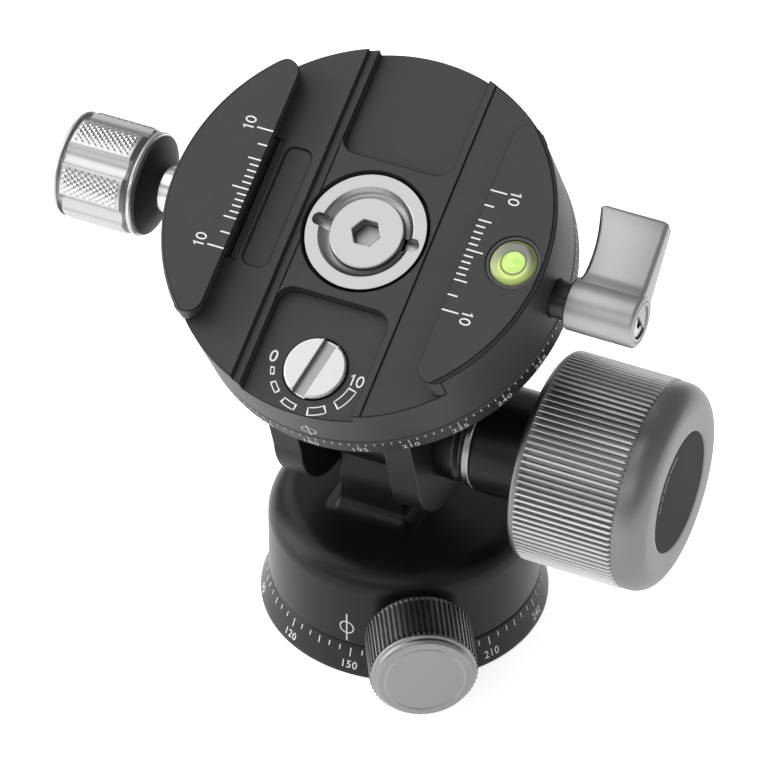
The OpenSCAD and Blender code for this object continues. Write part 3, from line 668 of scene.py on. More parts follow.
# ---------------------------------------------------------------- geometry nodes
class Pattern:
    """A Geometry Nodes tree that repeats one item, with named inputs."""

    KINDS = {"Item": "NodeSocketObject", "Finish": "NodeSocketMaterial", "Count": "NodeSocketInt",
             "Columns": "NodeSocketInt", "First Shift": "NodeSocketVector", "Shift Step": "NodeSocketVector"}

    def __init__(self, name: str, inputs: Sequence[str]) -> None:
        """Starts the tree.

        Args:
            name: The tree's name.
            inputs: Names of its inputs.
        """
        self.tree = bpy.data.node_groups.new(name, "GeometryNodeTree")
        self.tree.is_modifier = True
        face = self.tree.interface
        face.new_socket("Geometry", in_out="INPUT", socket_type="NodeSocketGeometry")
        self.names = {}
        for given in inputs:
            kind = self.KINDS.get(given, "NodeSocketFloat")
            self.names[given] = face.new_socket(given, in_out="INPUT", socket_type=kind).identifier
        face.new_socket("Geometry", in_out="OUTPUT", socket_type="NodeSocketGeometry")
        self.graph = Graph(self.tree)
        self.entry = self.tree.nodes.new("NodeGroupInput")

    def given(self, name: str) -> Sock:
        """One of the tree's inputs."""
        return Sock(self.graph, self.entry.outputs[name])

    def close(self, count: Sock, place: Sock, angle: Sock) -> None:
        """Puts an item on every point and ends the tree.

        Args:
            count: Number of items.
            place: Where each goes.
            angle: How far each is turned about Z.
        """
        g = self.graph
        points = g.node("GeometryNodeMeshLine", {}, {"Count": count, "Offset": (0.0, 0.0, 0.0)})
        points = g.node("GeometryNodeSetPosition", {}, {"Geometry": points, "Position": place})
        item = g.node("GeometryNodeObjectInfo", {"transform_space": "ORIGINAL"},
                      {"Object": self.given("Item")}, "Geometry")
        spin = g.node("FunctionNodeAxisAngleToRotation", {}, {"Axis": (0.0, 0.0, 1.0), "Angle": angle})
        copies = g.node("GeometryNodeInstanceOnPoints", {},
                        {"Points": points, "Instance": item, "Rotation": spin})
        solid = g.node("GeometryNodeRealizeInstances", {}, {"Geometry": copies})
        done = g.node("GeometryNodeSetMaterial", {}, {"Geometry": solid, "Material": self.given("Finish")})
        g.node("NodeGroupOutput", {}, {"Geometry": done})

    def bake(self, item: Form, material: bpy.types.Material, **values: Value) -> Form:
        """Runs the tree on an item.

        Args:
            item: The mesh to repeat; it is freed.
            material: The finish that the tree sets.
            **values: The tree's inputs, with underscores for spaces.

        Returns:
            The plain mesh.
        """
        source, holder = stand(plain(item)), stand(bpy.data.meshes.new("holder"))
        modifier = holder.modifiers.new("pattern", "NODES")
        modifier.node_group = self.tree
        for name, value in {"Item": source, "Finish": material, **values}.items():
            modifier[self.names[name.replace("_", " ")]] = value
        return opened(harvest(holder, source))


class Row(Pattern):
    """Items in a row or a ring: each is turned and moved on from the last."""

    def __init__(self) -> None:
        """Builds the tree."""
        super().__init__("row", ("Item", "Finish", "Count", "First Turn", "Turn Step", "First Shift",
                                 "Shift Step"))
        g = self.graph
        index = g.node("GeometryNodeInputIndex")
        angle = self.given("First Turn") + index * self.given("Turn Step")
        travel = g.node("ShaderNodeVectorMath", {"operation": "SCALE"},
                        {"Vector": self.given("Shift Step"), "Scale": index})
        self.close(self.given("Count"), g.vector("ADD", self.given("First Shift"), travel), angle)


class Knurl(Pattern):
    """Staggered teeth on a cylinder's wall, in columns round it and rows along it."""

    def __init__(self) -> None:
        """Builds the tree."""
        super().__init__("knurl", ("Item", "Finish", "Count", "Columns", "Start Turn", "Turn Step",
                                   "Start Height", "Row Height"))
        g = self.graph
        index = g.node("GeometryNodeInputIndex")
        row = (index / self.given("Columns") + 0.0001).floor()
        column = index - row * self.given("Columns")
        odd = row - (row * 0.5 + 0.0001).floor() * 2
        angle = self.given("Start Turn") + (column + odd * 0.5) * self.given("Turn Step")
        height = self.given("Start Height") + row * self.given("Row Height")
        self.close(self.given("Count"), g.node("ShaderNodeCombineXYZ", {}, {2: height}), angle)


# ---------------------------------------------------------------- workshop
class Workshop:
    """Turns meshes and CAD nodes into finished pieces that ride on their bodies."""

    WELD = 2e-6
    FLAT = math.radians(0.4)

    def __init__(self, loaded: dict) -> None:
        """Keeps the frame.
        """
        self.nodes = loaded["nodes"]
        self.body_of = {node: body for body, nodes in loaded["record"]["behaviour"]["bodies"].items()
                        for node in nodes}
        self.row, self.knurl = Row(), Knurl()
        self.made = 0

    def settle(self, name: str, mesh: bpy.types.Mesh, body: str, stands_for: Sequence[str] = (),
               slot: Optional[str] = None) -> bpy.types.Object:
        """Makes the object, lets it ride and reports it.

        Args:
            name: The piece's name.
            mesh: Its mesh, in place.
            body: The body that it rides on.
            stands_for: CAD nodes that it replaces.
            slot: The record's material slot; not used.

        Returns:
            The object.
        """
        mesh.name = name
        piece = bpy.data.objects.new(name, mesh)
        bpy.context.scene.collection.objects.link(piece)
        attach(piece, body)
        if stands_for:
            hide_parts(*stands_for)
        self.made += 1
        log.info("%s: %d faces on %s", name, len(mesh.polygons), body)
        return piece

    def piece(self, name: str, form: Form, place: Matrix, finish: Finish, body: str,
              stands_for: Sequence[str] = (), bevel: float = 0.0, smooth: float = 32.0,
              axis: Optional[Matrix] = None, label: str = "") -> bpy.types.Object:
        """Finishes a mesh of our own.

        Args:
            name: The piece's name.
            form: Its mesh in its own frame; it is freed.
            place: Where it goes.
            finish: Its surface.
            body: The body that it rides on.
            stands_for: CAD nodes that it replaces.
            bevel: Width of the rounding on its sharp edges, in millimetres.
            smooth: Angle up to which edges are shaded smooth, in degrees.
            axis: Frame of the finish, if it isn't the piece's own.
            label: Name of that frame.

        Returns:
            The object.
        """
        form.transform(place)
        mesh = plain(form, name)
        tag = (label or name) if finish.grain is Grain.TURNED else ""
        for look in (finish, finish.edge()):
            mesh.materials.append(look.material(axis or place, tag))
        mesh.polygons.foreach_set("material_index", [0] * len(mesh.polygons))
        mesh.shade_smooth()
        mesh.set_sharp_from_angle(angle=math.radians(smooth))
        if bevel:
            mesh = self.rounded(mesh, bevel, smooth)
        return self.settle(name, mesh, body, stands_for, finish.slot)

    def skin(self, node: str, finish: Finish, bevel: float, label: str = "") -> bpy.types.Object:
        """Copies a CAD node, merges its triangles, rounds its edges and dresses it.

        Args:
            node: The CAD node.
            finish: Its surface.
            bevel: Width of the rounding, in millimetres.
            label: Name of the finish's frame in AXES.

        Returns:
            The object.
        """
        form = bmesh.new()
        form.from_mesh(self.nodes[node].data)
        form.transform(self.nodes[node].matrix_world)
        bmesh.ops.remove_doubles(form, verts=form.verts, dist=self.WELD)
        bmesh.ops.dissolve_limit(form, angle_limit=self.FLAT, verts=form.verts, edges=form.edges)
        return self.piece(node + "_skin", form, UPRIGHT, finish, self.body_of[node], (node,), bevel,
                          axis=AXES[label], label=label)

    def skins(self, label: str, **looks: tuple[Finish, float]) -> None:
        """Dresses CAD nodes that share a frame; each look is a node's finish and rounding."""
        for node, (finish, bevel) in looks.items():
            self.skin(node, finish, bevel, label)

    @staticmethod
    def rounded(mesh: bpy.types.Mesh, width: float, smooth: float) -> bpy.types.Mesh:
        """Rounds the sharp edges of a mesh.

        Args:
            mesh: The mesh; it is removed.
            width: Width of the rounding, in millimetres.
            smooth: Angle above which an edge is sharp, in degrees.

        Returns:
            The new mesh.
        """
        holder = stand(mesh)
        modifier = holder.modifiers.new("edges", "BEVEL")
        modifier.width, modifier.segments, modifier.limit_method = width * MM, 2, "ANGLE"
        # Bevel faces take the second material, the edge finish: lighter wear, or darker painted edge shade.
        modifier.angle_limit, modifier.use_clamp_overlap, modifier.material = math.radians(smooth), False, 1
        holder.modifiers.new("shading", "WEIGHTED_NORMAL").keep_sharp = True
        return harvest(holder)

    def paint(self, name: str, forms: Sequence[Form], place: Matrix, body: str) -> bpy.types.Object:
        """Lays painted marks.

        Args:
            name: The piece's name.
            forms: Flat meshes in their frame; they are freed.
            place: Where they go.
            body: The body that they ride on.

        Returns:
            The object.
        """
        whole = join(forms)
        whole.transform(place)
        mesh = plain(whole, name)
        mesh.materials.append(PAINT.material())
        mesh.polygons.foreach_set("material_index", [0] * len(mesh.polygons))
        return self.settle(name, mesh, body)


# ---------------------------------------------------------------- sub-assemblies
@dataclass
class Assembly:
    """A sub-assembly that is made in a workshop."""

    shop: Workshop


@dataclass(frozen=True)
class Band:
    """A round wall about Z that carries painted marks: a cylinder or a cone."""

    radius: float
    height: float = 0.0
    slope: float = 0.0
    zero: float = 0.0
    lift: float = PAINT_LIFT

    def mark(self, form: Form, mid: float, degrees: float) -> Form:
        """Wraps a flat mark round the wall.

        Args:
            form: The mark, in its own plane.
            mid: Height of its middle.
            degrees: Its place on the scale, which runs from -Y toward +X.

        Returns:
            The same mesh.
        """
        lean, radius = math.hypot(1.0, self.slope), self.radius + (mid - self.height) * self.slope

        def rule(x: float, y: float, z: float) -> Vector:
            """Wraps one point.

            Args:
                x: Along the wall.
                y: Up the wall.
                z: Out of the wall.

            Returns:
                The new place.
            """
            rise = y / lean
            reach = radius + self.slope * rise + self.lift + z
            angle = math.radians(degrees - self.zero) + x / radius
            return Vector((reach * math.sin(angle), -reach * math.cos(angle), mid + rise))

        return bend(form, rule)

    def ticks(self, shop: Workshop, step: float, first: float, low: float, high: float,
              width: float) -> Form:
        """Equal ticks all round.

        Args:
            shop: The workshop.
            step: Degrees from one to the next.
            first: Place of the first.
            low: Height of their lower ends.
            high: Height of their upper ends.
            width: Their width.

        Returns:
            The mesh.
        """
        half = (high - low) / 2
        tick = self.mark(strip([(0, -half), (0, 0), (0, half)], width), (high + low) / 2, first)
        return shop.row.bake(tick, PAINT.material(), Count=int(360 / step), Turn_Step=math.radians(step))

    def figures(self, step: int, mid: float, size: float) -> list[Form]:
        """Degrees round the wall, at equal steps."""
        return [self.mark(lettering(str(value), size, 1.1), mid, value) for value in range(0, 360, step)]

    def index(self, mid: float, half: float, degrees: float = 0.0) -> list[Form]:
        """The line with a ring that the scale beside it is read at.

        Args:
            mid: Height of its middle.
            half: Half the line's length.
            degrees: Its place round the wall.

        Returns:
            The marks.
        """
        line_width, ring_width, ring = 0.26, 0.22, 1.15
        return [self.mark(form, mid, degrees) for form in (
            strip([(0, -half), (0, 0), (0, half)], line_width),
            strip(arc(0, 0, ring, 0, 350, 35), ring_width, True))]


@dataclass
class Base(Assembly):
    """Graduated base plate on the tripod, with the pan spindle."""

    band_low: float = 1.1
    band_high: float = 5.0
    radius_low: float = 23.2
    radius_high: float = 21.8
    zero: float = 148.0
    tick_mm: float = 0.19
    figure_mm: float = 1.3

    def build(self) -> None:
        """Dresses the nodes; paints ticks each 5 degrees, longer at 15 and longest at 30, and the figures."""
        black = replace(BARREL, name="black_base", colour=(0.014, 0.014, 0.015), specular=0.3)
        self.shop.skins("pan", base_plate=(black, 0.10), thread_insert=(STEEL, 0.08),
                        pan_spindle=(STEEL, 0.08), base_screws=(DARK_STEEL, 0.06))
        slope = (self.radius_high - self.radius_low) / (self.band_high - self.band_low)
        band, top = Band(self.radius_high, self.band_high, slope, self.zero), self.band_high - 0.12
        marks = [band.ticks(self.shop, step, first, top - length, top, self.tick_mm)
                 for step, first, length in ((30, 0, 1.5), (30, 15, 1.2), (15, 5, 0.85), (15, 10, 0.85))]
        marks += band.figures(30, self.band_low + 1.05, self.figure_mm)
        self.shop.paint("base_scale", marks, UPRIGHT, "base")


@dataclass
class Housing(Assembly):
    """Round housing with its neck, bearings and index mark."""

    radius: float = 21.8
    index_mid: float = 8.9
    index_half: float = 2.75
    top: float = 20.8
    sink: float = 0.02
    neck_x: float = -2.0
    neck_w: float = 11.0
    neck_front: float = -8.4
    head_r: float = 9.0
    bore: float = 2.6
    fillet: float = 2.7
    corner: float = 0.5
    straight: float = 6.0
    narrowing: float = 2.0

    def build(self) -> None:
        """Dresses the nodes, casts the neck and paints the index."""
        self.shop.skin("housing", BARREL, 0.15, "pan")
        left, right = self.neck_x - self.neck_w / 2, self.neck_x + self.neck_w / 2
        head = lathe([(self.bore, left), (self.head_r, left), (self.head_r, right), (self.bore, right)], 96)
        head.transform(shift(0, HINGE_Y, HINGE_Z) @ turn(90, "Y"))
        self.shop.piece("neck_cast", join([self.neck(), head]), UPRIGHT, BARREL, "housing", ("neck",),
                        label="pan", smooth=40.0)
        self.shop.skin("retaining_ring", DARK_STEEL, 0.08, "pan")
        self.shop.skins("", lower_thrust_washer=(POLYMER, 0.04), upper_thrust_washer=(POLYMER, 0.04),
                        tilt_bushing=(BRONZE, 0.08), pan_brake_shoe=(BRONZE, 0.08))
        self.shop.skin("pan_knob_collar", SILVER, 0.25, "pan_lock")
        index = Band(self.radius).index(self.index_mid, self.index_half)
        self.shop.paint("housing_index", index, UPRIGHT, "housing")

    def neck(self) -> Form:
        """The upright neck, filleted all round at its foot.

        Returns:
            The mesh.
        """
        rings, foot, bend_at = [], self.top - self.sink, self.top + self.straight
        back = HINGE_Y + self.head_r + self.narrowing
        heights = [foot + self.fillet * (1 - math.cos(math.pi / 2 * i / 8)) for i in range(9)]
        for z in heights + [bend_at, HINGE_Z - self.head_r * 0.86, HINGE_Z]:
            rise = min(1.0, (z - foot) / self.fillet)
            flare = self.fillet * (1.0 - math.sqrt(1.0 - (1.0 - rise) ** 2))
            lean = max(0.0, (z - bend_at) / (HINGE_Z - bend_at))
            r = self.corner + flare
            x0, x1 = (self.neck_x + side * (self.neck_w / 2 + flare - r) for side in (-1, 1))
            y0 = HINGE_Y + r if z == HINGE_Z else self.neck_front - flare + r
            y1 = back - self.narrowing * lean + flare - r
            rings.append([(x, y, z) for x, y in cushion(x0, x1, y0, y1, r, 5)])
        return loft(rings)


@dataclass
class PanLock(Assembly):
    """Small ribbed knob that locks the panning base."""

    start: float = 23.15
    end: float = 31.85
    radius: float = 8.5
    floor: float = 8.0
    ribs: int = 60
    seat: float = 4.6
    bore: float = 2.4

    def build(self) -> None:
        """Builds the knob and its cap."""
        self.shop.skin("pan_stud", STEEL, 0.05, "pan_lock")
        # Painted highlight: the ribs are a lighter copy of the knob's grey.
        crests = replace(RIB_HIGHLIGHT_GREY, name="pan_rib_crests", colour=(0.23, 0.23, 0.232))
        for name, form, finish, stands_for, bevel, smooth in (
                ("pan_knob_barrel", self.barrel(), PAN_GREY, ("pan_knob",), 0.0, 28.0),
                ("pan_knob_ribs", self.ribbing(), crests, (), 0.0, 28.0),
                ("pan_knob_cap_turned", self.cap(), CAP_GREY, ("pan_knob_cap",), 0.06, 24.0)):
            self.shop.piece(name, form, PAN_LOCK, finish, "pan_knob", stands_for, bevel, smooth)

    def barrel(self) -> Form:
        """The knob's body under the ribs.

        Returns:
            The mesh.
        """
        s, e, f, r = self.start, self.end, self.floor, self.radius
        return lathe([(self.bore, s), (r - 1.0, s), *arc(r - 0.9, s + 0.6, 0.6, -80, 0, 6),
                      (r - 0.3, s + 0.7), (f, s + 1.0), (f, e - 0.55), (f - 0.5, e - 0.5), (f - 0.5, e),
                      (self.seat, e), (self.seat, e - 1.0), (self.bore, e - 1.0)])

    def ribbing(self) -> Form:
        """The ring of ribs.

        Returns:
            The mesh.
        """
        low, high, half = self.floor - 0.1, self.radius, math.pi * self.floor / self.ribs
        rib = prism(rib_profile([(low, half * 0.78), (high - 0.16, half * 0.40), (high, half * 0.26)]),
                    self.start + 0.75, self.end + 0.45)
        return self.shop.row.bake(rib, GREY.material(), Count=self.ribs, Turn_Step=TAU / self.ribs)

    def cap(self) -> Form:
        """The stepped cap with its ring groove.

        Returns:
            The mesh.
        """
        e, r = self.end, self.radius
        return lathe([(0, e - 0.95), (self.seat - 0.02, e - 0.95), (self.seat - 0.02, e + 0.02),
                      (r - 0.5, e + 0.02), (r - 0.22, e + 0.4), (r - 0.22, e + 0.72), (r - 0.36, e + 0.92),
                      (r - 0.62, e + 0.98), (r - 0.66, e + 1.12), (r - 0.74, e + 1.5), (r - 1.1, e + 1.84),
                      (r - 1.55, e + 1.96), (r - 2.18, e + 1.96), (r - 2.24, e + 1.86), (r - 2.36, e + 1.86),
                      (r - 2.42, e + 1.94), (0, e + 1.92)])


@dataclass
class Yoke(Assembly):
    """Two ears under the graduated flange, with the hinge's washers and discs."""

    flange_r: float = 30.0
    tick_low: float = 30.15
    tick_high: float = 31.1
    tick_mm: float = 0.2
    figure_mid: float = 28.9
    figure_mm: float = 1.25
    nut_r: float = 9.4
    nut_low: float = 38.75
    nut_top: float = 41.65
    dish_r: float = 7.35
    screw_r: float = 5.83
    socket_r: float = 2.2
    socket: float = 38.92
    slot_depth: float = 2.5
    slot_half: float = 1.0
    slot_outer: float = 7.75
    slot_inner: float = 5.0

    def build(self) -> None:
        """Dresses the nodes, turns the nut and paints the degrees, with a longer tick each 15."""
        shop = self.shop
        black = replace(BLACK, name="black_yoke", colour=(0.006, 0.006, 0.007), specular=0.18, worn=True)
        washer = replace(STEEL, name="washer_steel", colour=(0.24, 0.24, 0.24))
        nut = replace(SILVER, name="nut_face", colour=(0.33, 0.33, 0.33), roughness=0.30)
        socket = replace(STEEL, name="socket_floor", colour=(0.28, 0.28, 0.28), roughness=0.4)
        screw = replace(CHROME, name="screw_face", colour=(0.33, 0.33, 0.33), roughness=0.30)
        shop.skin("yoke", black, 0.22)
        shop.skin("tilt_bolt", STEEL, 0.10, "hinge")
        shop.skins("", left_friction_disc=(BRONZE, 0.06), right_friction_disc=(BRONZE, 0.06))
        shop.skins("hinge", hinge_spacer=(BARREL, 0.12), hinge_thrust_washer=(washer, 0.12))
        shop.skin("clamp_washer", DARK_STEEL, 0.03, "clamp")
        shop.skin("lip_washer", POLYMER, 0.04)
        shop.piece("centre_nut_turned", self.nut(), CLAMP, nut, "yoke", ("centre_nut",), bevel=0.06,
                   smooth=30.0)
        # Painted shade: a grey hexagonal sheet laid in the socket's bottom, darker than the screw's face.
        hexagon = prism(arc(0, 0, self.socket_r, 0, 300, 5), self.socket, self.socket + 0.25)
        shop.piece("screw_socket_floor", hexagon, CLAMP, socket, "yoke")
        shop.skin("centre_screw", screw, 0.16, "clamp")
        band = Band(self.flange_r, zero=180.0)
        marks = [band.ticks(shop, step, band.zero, low, self.tick_high, self.tick_mm)
                 for step, low in ((15.0, self.tick_low - 0.35), (2.5, self.tick_low + 0.25))]
        shop.paint("flange_scale", marks + band.figures(15, self.figure_mid, self.figure_mm), CLAMP, "yoke")

    def nut(self) -> Form:
        """The nut with its dish round the screw and two slots for a pin wrench.

        Returns:
            The mesh.
        """
        top, low, dish, half = self.nut_top, self.nut_low, self.dish_r, self.slot_half
        ring = lathe([(self.screw_r, low), (self.nut_r, low), (self.nut_r, top), (dish, top),
                      (dish - 0.16, top - 0.22), (dish - 0.5, top - 0.75), (dish - 0.95, top - 1.05),
                      (self.screw_r, top - 1.15)], 160)
        outline = arc(self.slot_outer, 0, half, -90, 90, 10) + arc(self.slot_inner, 0, half, 90, 270, 6)
        slots = [prism(outline, top - self.slot_depth, top + 0.5) for _ in range(2)]
        slots[1].transform(turn(180, "Z"))
        return carved(ring, slots)


@dataclass
class LockKnob(Assembly):
    """Large ribbed knob that locks the tilt."""

    start: float = 26.3
    end: float = 48.2
    radius: float = 16.7
    floor: float = 16.12
    rib_start: float = 27.5
    rib_end: float = 43.4
    inlay: float = 9.7
    ribs: int = 100
    hub_bore: float = 8.82
    spring_bore: float = 6.0
    screw_bore: float = 1.6
    head_bore: float = 4.0
    dome: float = 3.6
    dash_mm: float = 0.2

    def build(self) -> None:
        """Builds the knob and dresses what it turns on."""
        shop = self.shop
        shop.skin("knob_hub", BARREL, 0.14, "hinge")
        shop.skin("knob_bush", BRONZE, 0.08)
        shop.skins("hinge", disc_springs=(STEEL, 0.0), main_knob_screw=(STEEL, 0.08))
        shop.piece("main_knob_barrel", self.barrel(), KNOB, GREY, "main_knob", ("main_knob",), smooth=26.0)
        # The ribs take the lighter copy of the grey: painted highlight.
        shop.piece("main_knob_ribs", self.ribbing(), KNOB, RIB_HIGHLIGHT_GREY, "main_knob", smooth=26.0)
        face, edge = self.end - 0.12, self.inlay - 0.03
        disc = lathe([(0, face), (edge, face), (edge, face - 0.6), (0, face - 0.6)])
        shop.piece("main_knob_inlay_disc", disc, KNOB, INLAY, "main_knob", ("main_knob_inlay",))
        dashes = [strip(arc(0, 0, self.inlay - 1.15, start, end, 8), self.dash_mm)
                  for start, end in ((226, 215), (212, 206), (203, 185), (182, 162))]
        shop.paint("main_knob_dashes", dashes, KNOB @ shift(0, 0, self.end - 0.09), "main_knob")

    def barrel(self) -> Form:
        """The knob's body: back rim, floor between the ribs, domed shoulder and end.

        Returns:
            The mesh.
        """
        s, e, r, f, i = self.start, self.end, self.radius, self.floor, self.inlay
        shoulder = r - 0.15
        dome = arc(shoulder - self.dome, e - self.dome, self.dome, 0, 84, 16)
        return lathe([(self.hub_bore, s), (r - 1.0, s), *arc(r - 0.85, s + 0.85, 0.85, -80, 0, 8),
                      (r, self.rib_start - 0.15), (r - 0.12, self.rib_start), (f, self.rib_start + 0.55),
                      (f, self.rib_end + 0.05), (shoulder - 0.03, self.rib_end + 0.15),
                      (shoulder, self.rib_end + 0.5), *dome, (i + 0.65, e - 0.02), (i + 0.3, e - 0.06),
                      (i + 0.02, e - 0.22), (i + 0.02, e - 0.8), (self.head_bore, e - 0.8),
                      (self.head_bore, e - 6.0), (self.screw_bore, e - 6.0), (self.screw_bore, s + 8.0),
                      (self.spring_bore, s + 8.0), (self.spring_bore, s + 3.0), (self.hub_bore, s + 3.0)],
                     180)

    def ribbing(self) -> Form:
        """The ring of straight ribs, pointed at the shoulder.

        Returns:
            The mesh.
        """
        low, high, half = self.floor - 0.08, self.radius, math.pi * self.floor / self.ribs
        profile = rib_profile([(low, half * 0.66), (high - 0.10, half * 0.46), (high, half * 0.26)])
        stations = ((self.rib_start - 0.05, 0.0), (self.rib_start + 0.2, 0.0), (self.rib_end - 0.35, 0.0),
                    (self.rib_end + 0.1, 0.42))
        rib = loft([[(max(low, x - sink), y * (1.0 - 0.5 * sink), height) for x, y in profile]
                    for height, sink in stations])
        return self.shop.row.bake(rib, GREY.material(), Count=self.ribs, Turn_Step=TAU / self.ribs)


@dataclass
class Clamp(Assembly):
    """Panning dovetail clamp with its fixed jaw, level and drag dial."""

    radius: float = 30.0
    jaw_top: float = 46.45
    mouth: float = 17.4
    pocket_floor: float = 40.15
    index_mid: float = 34.3
    index_half: float = 1.9
    index_turn: float = 2.0
    slot_turn: float = -11.0
    level_r: float = 3.68
    level_depth: float = 3.78

    def build(self) -> None:
        """Dresses the nodes and paints the scales."""
        shop, slot = self.shop, DRAG @ turn(self.slot_turn, "Z")
        shop.skin("clamp_body", BLACK, 0.14)
        shop.skins("screw", jaw_guide_pins=(STEEL, 0.05), jaw_springs=(STEEL, 0.0))
        shop.skin("top_brake_shoe", BRONZE, 0.08)
        shop.skin("drag_spring", STEEL, 0.0, "clamp")
        shop.skin("drag_pad", POLYMER, 0.06)
        face = replace(SILVER, name="drag_face", colour=(0.42, 0.42, 0.42), roughness=0.32)
        shop.skin("drag_screw", face, 0.14, "drag")
        # Painted shade: a darker grey sheet laid on the drag slot's floor.
        floor = replace(STEEL, name="slot_floor", colour=(0.30, 0.30, 0.30), roughness=0.45)
        shop.piece("drag_slot_floor", prism(box(-1.0, 1.0, 4.5), 39.86, 39.93), slot, floor, "drag_screw")
        shop.piece("tongue_slot_lip", prism(box(-18.05, -17.15, 10.1), 41.9, 42.62), CLAMP, BLACK, "clamp")
        self.level()
        scale = jaw_scale(shop, self.mouth + 0.12, self.jaw_top, 1, 0.0)
        shop.paint("fixed_jaw_scale", scale, CLAMP, "clamp")
        shop.paint("drag_dial", self.dial(), DRAG @ shift(0, 0, self.pocket_floor + PAINT_LIFT), "clamp")
        index = Band(self.radius).index(self.index_mid, self.index_half, self.index_turn)
        shop.paint("clamp_index", index, CLAMP, "clamp")

    @staticmethod
    def dial() -> list[Form]:
        """Boxes that grow from 0 to 10 round the drag screw, and the two figures.

        Returns:
            The marks.
        """
        marks = []
        for start, end, low, high in ((-76, -66.5, 6.3, 6.85), (-55, -40, 6.2, 6.95), (-25.5, -6, 6.2, 7.1),
                                      (12, 34.5, 6.2, 7.4), (49, 77, 6.2, 7.55)):
            outline = arc(0, 0, low, start - 90, end - 90, 6) + arc(0, 0, high, end - 90, start - 90, 6)
            marks.append(strip(outline, 0.17, True))
        for figures, x, y in ((lettering("0", 1.95), -6.9, 0.15), (ten(1.9), 6.75, 0.0)):
            figures.transform(shift(x, y, 0))
            marks.append(figures)
        return marks

    def level(self) -> None:
        """The round level in the fixed jaw, in its own material."""
        self.shop.skin("level_cup", DARK_STEEL, 0.03, "level")
        top, r, foot = self.jaw_top, self.level_r, self.jaw_top - self.level_depth
        dome = lathe([(0, foot), (r, foot), (r, top - 0.62), *arc(r - 0.5, top - 0.62, 0.5, 0, 60, 4),
                      (2.4, top - 0.10), (1.2, top - 0.04), (0, top - 0.02)], 96)
        dome.transform(LEVEL)
        mesh = plain(dome, "level_dome")
        mesh.materials.append(LevelFluid().material(LEVEL))
        mesh.shade_smooth()
        mesh.set_sharp_from_angle(angle=math.radians(40))
        self.shop.settle("level_dome", mesh, "clamp", ("level_vial", "level_bubble"), "level_green")


def jaw_scale(shop: Workshop, edge: float, height: float, side: int, middle: float) -> list[Form]:
    """Millimetre scale on a jaw.

    Args:
        shop: The workshop.
        edge: Distance of the ticks' inner ends from the clamp's middle.
        height: Height of the jaw's top.
        side: 1 for the fixed jaw, -1 for the sliding jaw.
        middle: Place of the scale's zero along the channel.

    Returns:
        The marks.
    """
    marks, lifted, width, figure, out = [], height + PAINT_LIFT, 0.24, 1.8, 4.1
    for first, step, count, length in ((-10.0, 10.0, 3, 2.7), (-5.0, 10.0, 2, 2.1), (-7.5, 15.0, 2, 1.55),
                                       (-4.0, 1.0, 4, 1.5), (1.0, 1.0, 4, 1.5)):
        tick = strip([(side * (edge + share * length), 0) for share in (0, 0.5, 1)], width)
        marks.append(shop.row.bake(tick, PAINT.material(), Count=count, Shift_Step=(0.0, step * MM, 0.0),
                                   First_Shift=(0.0, (middle + first) * MM, lifted * MM)))
    for place in (-10.0, 10.0):
        figures = ten(figure)
        figures.transform(shift(side * (edge + out), middle + place - side * 0.4, lifted)
                          @ turn(-90 * side, "Z"))
        marks.append(figures)
    return marks


@dataclass
class Jaw(Assembly):
    """Sliding jaw with its scale."""

    mouth: float = 17.9
    jaw_top: float = 46.45

    def build(self) -> None:
        """Dresses the jaw and paints its scale."""
        self.shop.skin("sliding_jaw", BLACK, 0.14)
        scale = jaw_scale(self.shop, self.mouth + 0.12, self.jaw_top, -1, -0.4)
        self.shop.paint("sliding_jaw_scale", scale, CLAMP, "jaw")


